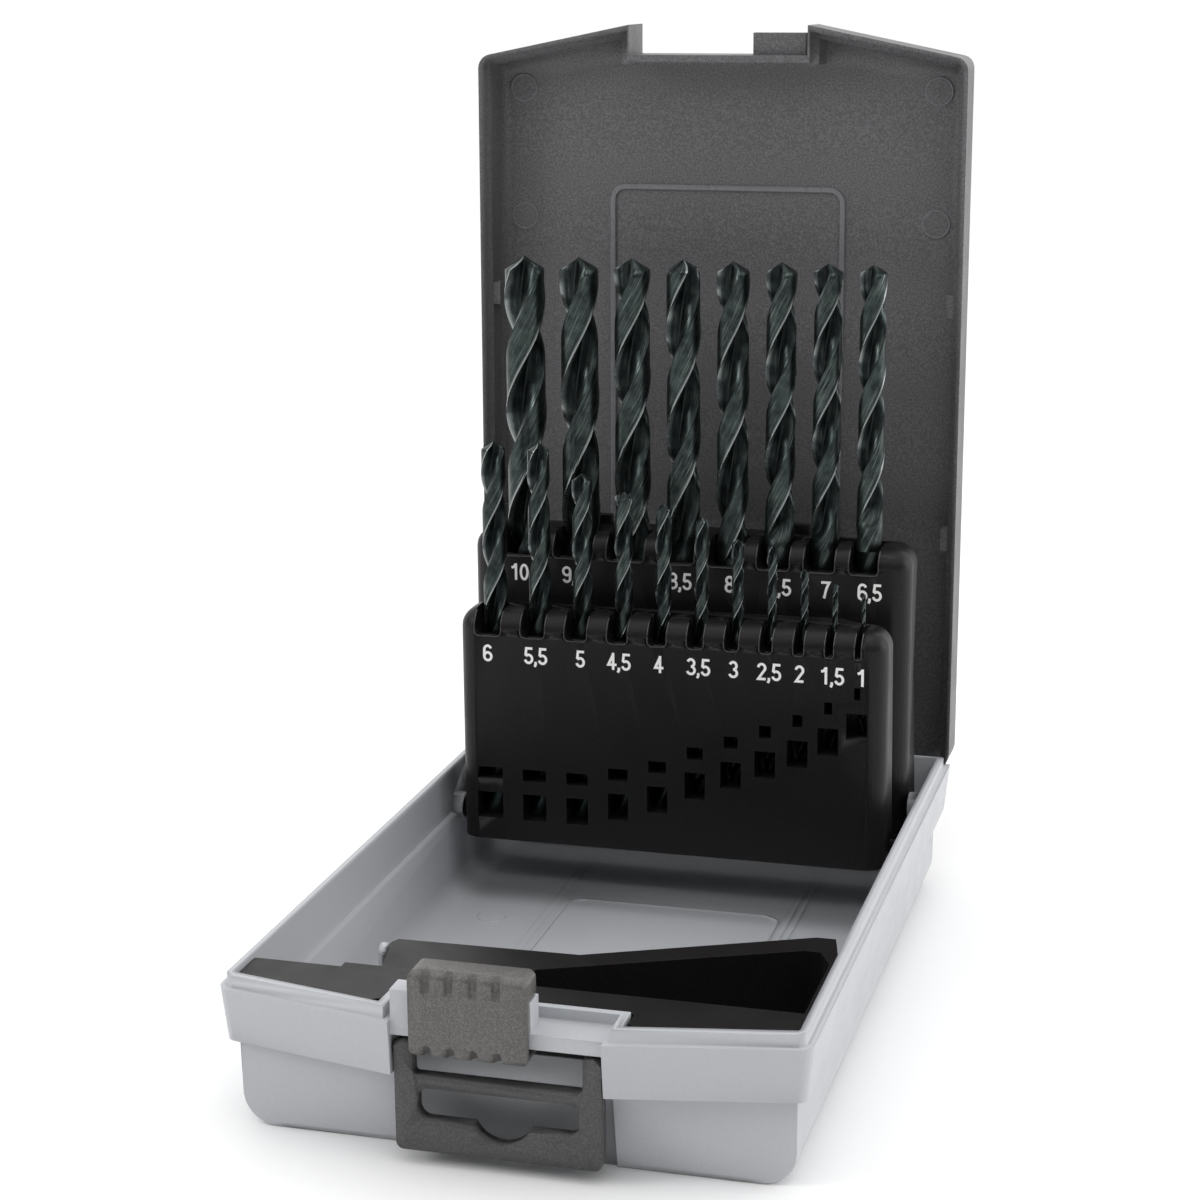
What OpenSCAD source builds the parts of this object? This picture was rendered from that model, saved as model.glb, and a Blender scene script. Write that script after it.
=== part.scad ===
// Drill bit case for nineteen twist drills, 1 to 10 mm in steps of 0.5 mm, standing open.
// A light grey tray carries a dark hinged lid, two black drill holders that fold forward
// under the lid, a black tip tray at the front, a sliding latch and a fold-out hanger.
// X runs along the width, Y to the back and Z up. The origin is the middle of the underside.

/* [Case] */
// Width over the rim band
case_w = 122; // [119:0.5:128]
// Depth over the rim band along the side walls
case_d = 180; // [179:0.5:186]
// How far the middle of the front edge stands ahead of its corners
front_bulge = 8; // [7.5:0.25:9]
// Height of the rim, where the lid closes on the tray
rim_z = 30.6; // [30:0.1:31.4]
// Height of the rim band
band_h = 11.6; // [11:0.1:12]
// How far the rim band draws in towards its lower edge
band_draft = 1.2; // [0.5:0.1:2]
// Step from the rim band in to the lower wall
skirt_step = 3.4; // [3:0.1:3.6]
// Thickness of the lower wall
wall = 1.6; // [1.4:0.1:1.8]
// Thickness of the floor
floor_t = 2.2; // [1.8:0.1:2.6]
// Radius of the long lower edges
edge_r = 7; // [5:0.5:9]
// Height of the lip above the rim
lip_h = 2.5; // [2:0.1:2.6]
// Thickness of the lip
lip_t = 1.7; // [1.4:0.1:2]
// Step from the rim band in to the lip
lip_step = 1.3; // [1.2:0.05:1.4]
// Height of the ledge inside the tray, where the cavity widens
ledge_z = 21.6; // [21.2:0.1:21.8]
// Half the width of the front notch
notch_half = 21.6; // [21.4:0.1:22.4]

/* [Lid] */
// Height of the lid above the rim
lid_h = 13.4; // [13.2:0.1:14.5]
// Thickness of the lid's side walls
lid_wall = 2.3; // [2.2:0.1:2.6]
// Thickness of the lid's top plate
lid_top = 1.8; // [1.4:0.1:1.9]
// Angle at which the open lid rests
lid_open = 91; // [90:0.5:92]
// Height of the hinge axis below the rim
hinge_drop = 1.1; // [1:0.05:1.3]
// Distance of the hinge axis from the back of the rim band
hinge_in = 4; // [3.9:0.05:4.2]
// Diameter of the hinge pegs
peg_d = 3.4; // [3:0.1:3.6]
// Diameter of the hinge knuckles
knuckle_d = 6.8; // [6.4:0.1:7]
// Length of each lid knuckle
knuckle_l = 16; // [10:1:20]
// Distance of each lid knuckle from the middle
knuckle_x = 38; // [30:1:42]

/* [Drill holders] */
// Half the width of the rear holder
rear_half = 54.6; // [54:0.1:54.7]
// Half the width of the front holder
front_half = 52.5; // [52:0.1:54]
// Thickness of the rear holder
rear_t = 16; // [15.6:0.1:16.2]
// Thickness of the front holder
front_t = 14; // [13:0.1:14.2]
// Front face of the rear holder, measured from the middle of the case
rear_face_y = 58.5; // [58:0.1:59]
// Front face of the front holder, measured from the middle of the case
front_face_y = 39.5; // [39:0.1:40]
// Height of the rear holder's top
rear_top_z = 92.5; // [90:0.5:95]
// Height of the front holder's top
front_top_z = 77; // [75:0.5:79]
// Height of the rear holder's underside
rear_low_z = 20.5; // [20:0.1:22]
// Height of the front holder's underside
front_low_z = 19; // [18:0.1:20]
// Radius of the holders' rounded edges
holder_r = 5; // [3:0.5:5]
// Diameter of the holders' pivot pins
pivot_d = 4; // [3.6:0.1:4.4]
// Diameter of the bosses that carry the pivot pins
boss_d = 7.2; // [6.6:0.1:7.4]

/* [Drills] */
// Web between neighbouring bores in the rear holder
rear_web = 4; // [3.6:0.1:4.2]
// Web between neighbouring bores in the front holder
front_web = 5.55; // [5:0.05:5.7]
// Height of the rear drills' tips, which stand level
rear_tip_z = 159.5; // [158.5:0.5:161]
// Clearance of a drill in its bore, on the diameter
bore_fit = 0.4; // [0.3:0.05:0.6]
// Web thickness of a drill, as a share of its diameter
web_share = 0.3; // [0.26:0.01:0.34]

/* [Latch and hanger] */
// Length of the latch slider
slider_l = 24; // [22:0.5:24.5]
// Travel of the latch slider
slider_travel = 10; // [8:0.5:10]
// Height of the latch slider
slider_h = 17.9; // [17.6:0.1:18]
// Wall of the latch slider
slider_t = 2; // [1.8:0.1:2]
// Height of the latch block above the shelf
block_h = 6.4; // [6:0.1:6.4]
// Gap between the hanger and the notch's wall, on each side
hanger_gap = 0.5; // [0.3:0.05:0.8]
// Thickness of the hanger plate
hanger_t = 3; // [2.6:0.1:3.2]
// Height of the hanger's lower edge above the ground
hanger_low_z = 3.2; // [2.6:0.1:4]
// Height of the hanger's pins above the ground
hanger_pin_z = 24.4; // [24:0.1:24.6]
// Diameter of the hanger's pins
hanger_pin_d = 2.4; // [2:0.1:2.6]
// Width of each hanger arm
arm_w = 3.7; // [3.4:0.1:3.8]

/* [Hidden] */
$fn = 64;
eps = 0.01;             // overlap that lets cuts break cleanly through a face
lap = 1;                // depth to which joined shapes run into each other
gap = 0.3;              // working gap between parts that don't guide each other
fit = 0.06;             // radial clearance of pins in their bores

// ---- tray ----
half_w = case_w / 2;
half_d = case_d / 2;
band_low_z = rim_z - band_h;
body_half = half_w - skirt_step;
body_back = half_d - skirt_step;
room_half = body_half - wall;
room_d = body_back - wall;
rim_inset = lip_step + lip_t;           // from the band in to the upper cavity
rim_room_half = half_w - rim_inset;
side_hole_d = 4.4;
side_hole_z = 15.8;
lip_z = rim_z + lip_h;
mid_front = half_d + front_bulge;       // distance of the front edge's middle from the centre
front_lean = front_bulge / 2;           // the lower wall leans out this far beside the notch
notch_back = body_back + 1.5;           // the shelf ends here, at the lip that closes the notch
lip_back = half_d - lip_step - 0.7;     // the lip's back face
recess_in = 0.7;        // depth of the recess behind the hanger
// ---- hinge ----
hinge_y = half_d - hinge_in;
hinge_z = rim_z - hinge_drop;
knuckle_peg = 3;
knuckle_gap = 0.4;
knuckle_room = 0.6;     // room around the knuckles in their pockets
pocket_z = hinge_z - knuckle_d / 2 - knuckle_room;
hinge_boss_l = 4;
// ---- lid, drawn closed and swung open about the hinge ----
lid_z = rim_z + lid_h;
lid_back = hinge_y + 2.5;
lid_notch_half = notch_half + 0.6;
lid_notch_y = notch_back + gap + lid_wall;
lid_lift = 3.2;         // the back wall starts this far above the rim, clear of the tray's lip
lip_room = 0.2;         // room around the tray's lip in the lid's rebate
front_r = 3.5;          // radius of the rim's and the lid's front corners
front_steps = 5;
slant_deg = atan(front_bulge / (half_w - notch_half));
lid_back_r = 8;
// ---- holders ----
front_row_y = front_face_y + front_t / 2;
rear_row_y = rear_face_y + rear_t / 2;
boss_in = rim_room_half - 2.8;          // inner faces of the pivot bosses
core_wall = 1.8;
slot_h = 6.3;           // the slots reach this far down the front face
slot_extra = 0.3;       // a slot is this much wider than its bore
slot_r = 1.2;           // radius of its lower corners
sight_w = 5;            // least width and height of the sight windows over the seats
sight_h = 6.6;
slit_z = 10;            // a slit this far above each window's lower edge
slit_h = 3;
lug_x = 25;             // lugs on the rear holder's back edge
lug_w = 5;
lug_t = 2.4;
lug_h = 2.2;
pivot_up = 3;           // from the rear holder's front face to its pivot
row_shift = 0.5;        // both rows stand this far right of the middle
// Folded, the rear holder lies this far under the lid and this far above the front holder
fold_gap = 0.85;
rear_pivot = [rear_face_y + pivot_up, lid_z - lid_top - fold_gap - (rear_t - pivot_up)];
front_pivot_in = 2;     // from the front holder's back to its pivot
front_fold_top = rear_pivot[1] - pivot_up - fold_gap;
front_pivot = [front_face_y + front_t - front_pivot_in, front_fold_top - front_pivot_in];
// ---- drills: diameters, overall and flute lengths of the short jobber series ----
rear_d = [10, 9.5, 9, 8.5, 8, 7.5, 7, 6.5];
front_d = [6, 5.5, 5, 4.5, 4, 3.5, 3, 2.5, 2, 1.5, 1];
rear_l = [133, 125, 125, 117, 117, 109, 109, 101];
rear_flute = [87, 81, 81, 75, 75, 69, 69, 63];
front_l = [93, 93, 86, 80, 75, 70, 61, 57, 49, 40, 34];
front_flute = [57, 57, 52, 47, 43, 39, 33, 30, 24, 18, 12];
front_seat_z = [24.5, 24.5, 24.5, 26.5, 29, 31.4, 35.5, 38.5, 41, 47, 51];
front_sight_z = [24.5, 24.5, 24.5, 26.5, 29.2, 33.4, 36.8, 40.1, 43.4, 47, 51];
lead_per_d = 5.44;      // a flute turns once in this many diameters, a 30 degree helix
point_half = 59;        // half the point angle
slice_turn = 36;        // the flutes turn this far from one section to the next
land_share = 0.98;      // width over the lands, as a share of the shank's diameter
land_from = 0.82;       // the lands begin at this cosine from their middle
shank_lap = 0.2;        // the fluted part starts this deep in the shank
flute_fine_d = 3;       // thinner drills have fewer corners in their section
// ---- tip tray ----
tray_low_z = floor_t + gap;
tray_wall_z = 27.4;     // top of the slanted wall
tray_wall_t = 1.6;
strip_z = lip_z - 0.6;  // top of the strip along the front
strip_back = mid_front - 20.5;          // the strip's back edge, in front of the middle
tray_side = rim_room_half - gap;
slant_x0 = -38;         // left end of the slanted wall
slant_y0 = -48.5;       // its back edge there
slant_in = 6;           // its left end runs in this far towards the strip
slant_bend = [3, -47.5];                // the wall turns back from here
slant_y1 = -25.5;       // its back edge at the right end
pocket_x0 = -14;        // left end of the pocket
hook_t = 1.6;           // thickness and width of the hook that holds the tray
hook_w = 4;
// ---- latch and hanger ----
rail_front = mid_front - 1.7;
rail_t = 2.8;
rail_drop = 3.2;        // depth of the rail's front bar below the shelf
shelf_t = 1.3;
slider_y = rail_front + gap;            // inner face of the slider's front plate
slider_x = -17;
slider_cap = 4.9;       // thickness of the slider's top, over the lid's flap
slider_top = rim_z + block_h + gap + slider_cap;
block_x1 = slider_x + slider_l + 0.3;
hanger_y = mid_front - 2;               // front face of the hanger
hanger_axis_y = hanger_y - hanger_t / 2;
hanger_half = notch_half - hanger_gap;
arm_inner = hanger_half - arm_w;

NODES = ["base_tray", "lid", "tip_tray", "front_holder", "rear_holder", "latch_slider",
    "hanger_tab", "drill_10_0", "drill_9_5", "drill_9_0", "drill_8_5", "drill_8_0",
    "drill_7_5", "drill_7_0", "drill_6_5", "drill_6_0", "drill_5_5", "drill_5_0",
    "drill_4_5", "drill_4_0", "drill_3_5", "drill_3_0", "drill_2_5", "drill_2_0",
    "drill_1_5", "drill_1_0"];
rear_names = [for (k = [0:len(rear_d) - 1]) NODES[7 + k]];
front_names = [for (k = [0:len(front_d) - 1]) NODES[15 + k]];

// Sum of the first n + 1 entries of a list
function upto(v, n) = n < 0 ? 0 : v[n] + upto(v, n - 1);
// Places of the bores in a row: equal webs between them, the row centred on row_shift
function offsets(d, web) = [for (k = [0:len(d) - 1])
    k == 0 ? 0 : upto(d, k - 1) + (d[k] - d[0]) / 2 + k * web];
function row_x(d, web) = let (o = offsets(d, web), n = len(d) - 1)
    [for (k = [0:n]) o[k] - o[n] / 2 + row_shift];
rear_x = row_x(rear_d, rear_web);
front_x = row_x(front_d, front_web);
rear_seat_z = [for (k = [0:len(rear_d) - 1]) rear_tip_z - rear_l[k]];

// Height of the slanted front edge at a distance x from the middle, drawn in by inset
function front_y(x, inset) =
    -(half_d - inset) - front_bulge * (half_w - inset - x) / (half_w - notch_half);

// Rounded corner between the left side and the slanted front edge, drawn in by inset
function front_corner(inset) = let (r = max(front_r - inset, 0.4), turn = 90 - slant_deg)
    [for (k = [0:front_steps]) let (a = 180 + turn * k / front_steps)
        [-(half_w - inset) + r + r * cos(a), -(half_d - inset) + r * tan(turn / 2) + r * sin(a)]];

// The same points on the right side, in the other order
function mirrored(points) = [for (k = [len(points) - 1:-1:0]) [-points[k][0], points[k][1]]];

// Plan of the rim, drawn in by inset; its front edge slants out to a notch in the middle
function rim_plan(inset, notch, notch_y, back) = let (w = half_w - inset, corner = front_corner(inset))
    concat([[-w, back]], corner, [[-notch, front_y(notch, inset)], [-notch, -notch_y],
        [notch, -notch_y], [notch, front_y(notch, inset)]], mirrored(corner), [[w, back]]);

// Plan of the rim without the notch
function whole_plan(inset) = let (w = half_w - inset, n = notch_half, corner = front_corner(inset))
    concat([[-w, half_d - inset]], corner, [[-n, front_y(n, inset)], [n, front_y(n, inset)]],
        mirrored(corner), [[w, half_d - inset]]);

// Rectangle with rounded corners, from its low corner to its high corner
module round_rect(low, high, r) {
    translate(low + [r, r]) square(high - low - [2 * r, 2 * r]);
    for (x = [low[0] + r, high[0] - r]) {
        for (y = [low[1] + r, high[1] - r]) translate([x, y]) circle(r);
    }
    translate([low[0] + r, low[1]]) square([high[0] - low[0] - 2 * r, high[1] - low[1]]);
    translate([low[0], low[1] + r]) square([high[0] - low[0], high[1] - low[1] - 2 * r]);
}

// Box between two corners
module block(low, high) {
    translate(low) cube(high - low);
}

// Extrudes a profile drawn in X and Z along Y
module along_y(y0, y1) {
    translate([0, y1, 0]) rotate([90, 0, 0]) linear_extrude(y1 - y0) children();
}

// Extrudes a profile drawn in Y and Z along X
module along_x(x0, x1) {
    translate([x0, 0, 0]) rotate([90, 0, 90]) linear_extrude(x1 - x0) children();
}

// Cylinder along X between x0 and x1, about a point in Y and Z
module x_cylinder(x0, x1, at, d) {
    translate([x0, at[0], at[1]]) rotate([0, 90, 0]) cylinder(h = x1 - x0, d = d);
}

// ------------------------------------------------------------------ tray

// Wedges that lean the lower front wall out towards the notch, under the slanted band
module front_lean() {
    hull() {
        translate([0, 0, band_low_z]) linear_extrude(lap) polygon([[-body_half, -body_back + lap],
            [-body_half, -body_back], [-notch_half, -body_back - front_lean],
            [notch_half, -body_back - front_lean], [body_half, -body_back],
            [body_half, -body_back + lap]]);
        block([-body_half + edge_r, -body_back, lap], [body_half - edge_r, -body_back + lap, 2 * lap]);
    }
}

// Trough with rounded long lower edges, open at the top
module trough(half, y0, y1, z0, z1, r) {
    along_y(y0, y1) {
        round_rect([-half, z0], [half, z1 + r], r);
    }
}

module tray_shell() {
    difference() {
        union() {
            intersection() {
                trough(body_half, -body_back, body_back, 0, rim_z, edge_r);
                block([-half_w, -half_d, 0], [half_w, half_d, rim_z - lap]);
            }
            front_lean();
            hull() {
                translate([0, 0, rim_z - eps]) linear_extrude(eps) polygon(whole_plan(0));
                translate([0, 0, band_low_z]) linear_extrude(eps) polygon(whole_plan(band_draft));
            }
            translate([0, 0, rim_z - lap]) linear_extrude(lip_h + lap)
                polygon(rim_plan(lip_step, notch_half + lip_step, notch_back, lip_back));
        }
        // Upper cavity, up through the lip
        translate([0, 0, ledge_z]) linear_extrude(lip_z)
            polygon(rim_plan(rim_inset, notch_half + rim_inset, notch_back - lip_t, lip_back - lip_t));
        // Lower cavity
        intersection() {
            trough(room_half, -room_d, room_d, floor_t, rim_z, edge_r - wall);
            block([-half_w, -half_d, floor_t], [half_w, half_d, ledge_z + 1]);
        }
        // Front notch, open to the front and from below
        block([-notch_half, -mid_front - 1, -1], [notch_half, -body_back, rim_z - shelf_t]);
        block([-notch_half, -mid_front - 1, rim_z - shelf_t - eps],
            [notch_half, -notch_back, lip_z + 1]);
        // Shallow recess behind the hanger
        block([-notch_half, -body_back - 1, -1], [notch_half, -body_back + recess_in, rim_z - shelf_t]);
    }
}

// Shelf, rail and block that carry the latch slider
module latch_seat() {
    block([-notch_half, -rail_front, rim_z - shelf_t], [notch_half, -notch_back + lip_t, rim_z]);
    block([-notch_half, -rail_front, rim_z - rail_drop],
        [notch_half, -rail_front + rail_t, rim_z - shelf_t + eps]);
    block([-notch_half, -rail_front, rim_z - eps],
        [block_x1, -lid_notch_y - gap, rim_z + block_h]);
}

// Pads that thicken the wall behind the hanger's recess
module recess_pad() {
    block([-notch_half - wall, -body_back + recess_in, floor_t - eps],
        [notch_half + wall, -body_back + recess_in + wall + 0.2, ledge_z]);
}

// Bosses on the tray's inner walls for the holders' pivot pins
module pivot_bosses() {
    for (side = [0, 1]) mirror([side, 0, 0]) {
        for (at = [rear_pivot, front_pivot]) {
            x_cylinder(boss_in, rim_room_half + 1, at, boss_d);
        }
    }
}

module pivot_bores() {
    for (side = [0, 1]) mirror([side, 0, 0]) {
        for (at = [rear_pivot, front_pivot]) {
            x_cylinder(boss_in - 1, rim_room_half + 0.4, at, pivot_d + 2 * fit);
        }
    }
}

// Room around one lid knuckle, cut through the rim at the back
module knuckle_pocket() {
    half = knuckle_l / 2 + knuckle_gap;
    block([knuckle_x - half, hinge_y - knuckle_d / 2 - knuckle_room, pocket_z],
        [knuckle_x + half, half_d + 1, lip_z + 1]);
}

// Bosses on both sides of each knuckle pocket
module hinge_bosses() {
    for (side = [0, 1]) mirror([side, 0, 0]) {
        for (end = [-1, 1]) {
            x = knuckle_x + end * (knuckle_l / 2 + knuckle_gap + hinge_boss_l / 2);
            x0 = x - hinge_boss_l / 2;
            x1 = x + hinge_boss_l / 2;
            x_cylinder(x0, x1, [hinge_y, hinge_z], knuckle_d);
            block([x0, hinge_y - knuckle_d / 2, hinge_z - 6], [x1, body_back, hinge_z]);
        }
    }
}

module hinge_bores() {
    for (side = [0, 1]) mirror([side, 0, 0]) {
        half = knuckle_l / 2 + knuckle_gap + knuckle_peg;
        x_cylinder(knuckle_x - half, knuckle_x + half, [hinge_y, hinge_z], peg_d + 2 * fit);
    }
}

// Moulded lines, panel and ejector marks of the floor
module floor_relief() {
    line_x = half_w * 0.49;         // two lines run along each side of the panel
    line_w = 0.8;
    line_gap = 2;
    line_h = 0.2;            // lower than the gap under the tip tray
    panel_x = 27;
    panel_y = [-34, 47];
    panel_r = 5;
    mark_d = 7;
    for (side = [-1, 1], k = [-1, 1]) {
        x = side * line_x + k * line_gap / 2;
        block([x - line_w / 2, -room_d + edge_r, floor_t - eps],
            [x + line_w / 2, room_d - edge_r, floor_t + line_h]);
    }
    translate([0, 0, floor_t - eps]) linear_extrude(0.4)
        difference() {
            round_rect([-panel_x, panel_y[0]], [panel_x, panel_y[1]], panel_r);
            round_rect([-panel_x + line_w, panel_y[0] + line_w],
                [panel_x - line_w, panel_y[1] - line_w], panel_r - line_w);
        }
    for (x = [-42, 42], y = [-20, 30]) {
        translate([x, y, floor_t - eps]) cylinder(h = 0.25, d = mark_d);
    }
}

// Hook on the floor that holds the tip tray's back end
module tray_hook() {
    x1 = slant_x0 - gap;
    r = hook_w / 2;
    along_x(x1 - hook_t, x1) {
        translate([slant_y0 - 5, floor_t - eps]) square([hook_w, tray_wall_z - floor_t - r]);
        translate([slant_y0 - 5 + r, tray_wall_z - r]) circle(r);
    }
}

module base_tray() {
    color("lightgrey") difference() {
        union() {
            difference() {
                union() {
                    tray_shell();
                    recess_pad();
                    pivot_bosses();
                }
                for (side = [0, 1]) mirror([side, 0, 0]) knuckle_pocket();
            }
            hinge_bosses();
            latch_seat();
            floor_relief();
            tray_hook();
        }
        hinge_bores();
        pivot_bores();
        // Bores for the hanger's pins in the side walls of the notch
        x_cylinder(-notch_half - 2, notch_half + 2, [-hanger_axis_y, hanger_pin_z],
            hanger_pin_d + 2 * fit);
        // Hole in each side wall, near the hinge
        for (side = [0, 1]) mirror([side, 0, 0]) {
            x_cylinder(room_half - 1, body_half + 1, [body_back - 6, side_hole_z], side_hole_d);
        }
    }
}

// ------------------------------------------------------------------ lid

// Plan of the lid with rounded corners, drawn in by inset
module lid_plan(inset) {
    intersection() {
        polygon(rim_plan(inset, lid_notch_half + inset, lid_notch_y - inset, lid_back - inset));
        round_rect([-half_w + inset, -2 * mid_front], [half_w - inset, lid_back - inset],
            max(lid_back_r - inset, 1));
    }
}

// Profile of the closed lid from the front: straight walls with rounded top edges
module lid_section(half, z0, z1, r) {
    difference() {
        round_rect([-half, z0 - 2 * r], [half, z1], r);
        translate([-half - 1, z0 - 3 * r]) square([2 * half + 2, 3 * r]);
    }
}

module lid_closed() {
    edge_round = 3;
    difference() {
        union() {
            intersection() {
                translate([0, 0, rim_z]) linear_extrude(lid_h) lid_plan(0);
                along_y(-mid_front - 1, lid_back + 1) lid_section(half_w, rim_z, lid_z, edge_round);
            }
            // Flap that the latch slider grips
            block([block_x1 + 1, -rail_front + gap, rim_z + 2.8],
                [notch_half - 0.4, -lid_notch_y + 1, rim_z + block_h]);
        }
        // Inside of the lid
        translate([0, 0, rim_z - 1]) linear_extrude(lid_h - lid_top + 1) lid_plan(lid_wall);
        // Rebate for the tray's lip
        translate([0, 0, rim_z - 1]) linear_extrude(lip_h + 1 + lip_room)
            polygon(rim_plan(lip_step - lip_room, notch_half + lip_step - lip_room,
                notch_back + lip_room + 0.7, lid_back - 1));
        // Back edge, lifted clear of the tray
        block([-half_w - 1, hinge_y - 2, rim_z - 1], [half_w + 1, half_d + 1, rim_z + lid_lift]);
    }
}

// Knuckles with their pegs, and the webs that join them to the lid's back wall
module lid_knuckles() {
    for (side = [0, 1]) mirror([side, 0, 0]) {
        x0 = knuckle_x - knuckle_l / 2;
        x1 = knuckle_x + knuckle_l / 2;
        x_cylinder(x0, x1, [hinge_y, hinge_z], knuckle_d);
        x_cylinder(x0 - knuckle_peg, x1 + knuckle_peg, [hinge_y, hinge_z], peg_d);
        block([x0, lid_back - lid_wall, hinge_z], [x1, lid_back, rim_z + lid_lift + lap]);
    }
}

// Relief lines, catches and ejector marks inside the lid
module lid_relief() {
    top = lid_z - lid_top;
    panel_x = 30;
    panel_y = [-58.5, 30];
    panel_r = 4;
    line_w = 1.3;
    line_h = 0.5;
    catch_half = 2.8;
    catch_in = 1.8;         // the catches stand this far in from the side walls
    mark_x = 52.6;
    mark_d = 7;
    mark_h = 0.25;
    translate([0, 0, top - line_h]) linear_extrude(line_h + eps)
        difference() {
            round_rect([-panel_x, panel_y[0]], [panel_x, panel_y[1]], panel_r);
            round_rect([-panel_x + line_w, panel_y[0] + line_w],
                [panel_x - line_w, panel_y[1] - line_w], panel_r - line_w);
        }
    for (side = [0, 1]) mirror([side, 0, 0]) {
        for (y = [-31, 27]) {
            block([half_w - lid_wall - catch_in, y - catch_half, rim_z + 3],
                [half_w - lid_wall + lap, y + catch_half, rim_z + 7]);
        }
        for (y = [-82, -50]) {
            translate([mark_x, y, top - mark_h]) cylinder(h = mark_h + eps, d = mark_d);
        }
    }
}

module lid() {
    color("dimgrey")
        translate([0, hinge_y, hinge_z]) rotate([-lid_open, 0, 0]) translate([0, -hinge_y, -hinge_z]) {
            lid_closed();
            lid_knuckles();
            lid_relief();
        }
}

// ------------------------------------------------------------------ tip tray

// Plan of the slanted part: from the strip back to the slanted wall
function slant_plan() = let (side = tray_side - 1.4)
    [[slant_x0 + slant_in, -strip_back - 2], [slant_x0, slant_y0 - 2], [slant_x0 + 1, slant_y0],
     [slant_bend[0], slant_bend[1]], [side - 7, slant_y1], [side - 2.8, slant_y1],
     [side, slant_y1 - 12], [side, -strip_back - 2]];

// Plan of the strip that lies along the front lip
function strip_plan() = let (n = notch_half + rim_inset + 0.5, f = rim_inset + gap)
    [[-tray_side, -strip_back], [-tray_side, -(half_d - f)], [-n - 3, front_y(n + 3, f)],
     [-n, -mid_front + f + 4], [-n, -notch_back + lip_t + gap], [n, -notch_back + lip_t + gap],
     [n, -mid_front + f + 4], [n + 3, front_y(n + 3, f)], [tray_side, -(half_d - f)],
     [tray_side, -strip_back]];

// Deep pocket between the strip and the slanted wall
module tray_pocket() {
    side = tray_side - 1.4 - tray_wall_t;
    translate([0, 0, tray_low_z + tray_wall_t]) linear_extrude(lip_z)
        polygon([[pocket_x0, -strip_back], [slant_bend[0] - 6.5, slant_bend[1] - 10],
            [side - 6.5, slant_y1 - 8], [side - 3, slant_y1 - 8], [side, slant_y1 - 14],
            [side, -strip_back]]);
}

module tip_tray() {
    room_front = room_d - 1.2;
    room_side = room_half - 0.7;
    step_y = -strip_back + 5;
    leg_x = 10;             // the strip's leg reaches this far past the slanted wall's end
    leg_half = -slant_x0 + leg_x;
    color("black") difference() {
        union() {
            translate([0, 0, ledge_z + gap]) linear_extrude(strip_z - ledge_z - gap)
                polygon(strip_plan());
            // Second step, just below the strip
            block([slant_x0 - 2, -strip_back - 2, ledge_z + gap], [pocket_x0, step_y, strip_z - 1.2]);
            intersection() {
                translate([0, 0, tray_low_z]) linear_extrude(tray_wall_z - tray_low_z)
                    polygon(slant_plan());
                union() {
                    trough(room_side, -room_front, 0, tray_low_z, ledge_z, edge_r - wall);
                    block([-half_w, -half_d, ledge_z + gap], [half_w, 0, tray_wall_z]);
                }
            }
            // Leg of the strip, down to the floor
            block([-leg_half, -room_front, tray_low_z], [leg_half, -strip_back + eps, ledge_z + 1]);
        }
        tray_pocket();
        // Hollows under the slanted wall's top and under the strip
        translate([0, 0, tray_low_z - 1]) linear_extrude(tray_wall_z - tray_low_z + 1 - tray_wall_t)
            polygon([[slant_x0 + slant_in + tray_wall_t, -strip_back + 1],
                [slant_x0 + 1 + tray_wall_t, slant_y0 - 2],
                [slant_bend[0] - 0.4, slant_bend[1] - 1.9], [tray_side - 10, slant_y1 - 2.9],
                [tray_side - 11.5, slant_y1 - 6.5], [slant_bend[0] - 7.5, slant_bend[1] - 8.2],
                [pocket_x0 - tray_wall_t, -strip_back + 1]]);
        block([-leg_half + tray_wall_t, -room_front + tray_wall_t, tray_low_z - 1],
            [leg_half - tray_wall_t, -strip_back - tray_wall_t, strip_z - tray_wall_t]);
    }
}

// ------------------------------------------------------------------ drill holders

// Block with rounded ends, top and front edge
module holder_body(half, y0, t, z0, z1, r) {
    intersection() {
        along_x(-half, half) {
            translate([y0, z0]) square([t, z1 - z0 - r]);
            translate([y0 + r, z0]) square([t - r, z1 - z0]);
            translate([y0 + r, z1 - r]) circle(r);
        }
        along_y(y0 - 1, y0 + t + 1) {
            translate([-half, z0]) square([2 * half, z1 - z0 - r]);
            translate([-half + r, z0]) square([2 * half - 2 * r, z1 - z0]);
            for (x = [-half + r, half - r]) translate([x, z1 - r]) circle(r);
        }
        translate([0, 0, z0]) linear_extrude(z1 - z0) {
            translate([-half, y0 + r]) square([2 * half, t - r]);
            translate([-half + r, y0]) square([2 * half - 2 * r, t]);
            for (x = [-half + r, half - r]) translate([x, y0 + r]) circle(r);
        }
    }
}

// Bores for the drills, slots from the bores out to the front edge, and sight windows
module holder_cuts(xs, ds, seats, sights, row_y, face_y, top_z) {
    for (k = [0:len(xs) - 1]) {
        d = ds[k] + bore_fit;
        slot = d + slot_extra;
        sight = max(sight_w, d);
        low = sights[k];
        translate([xs[k], row_y, seats[k]]) cylinder(h = top_z, d = d);
        along_y(face_y - 1, row_y) round_rect([xs[k] - slot / 2, top_z - slot_h],
            [xs[k] + slot / 2, top_z + slot_h], min(slot_r, 0.35 * slot));
        block([xs[k] - sight / 2, face_y - 1, low], [xs[k] + sight / 2, row_y, low + sight_h]);
        block([xs[k] - d / 2, face_y - 1, low + slit_z], [xs[k] + d / 2, row_y, low + slit_z + slit_h]);
    }
}

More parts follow.
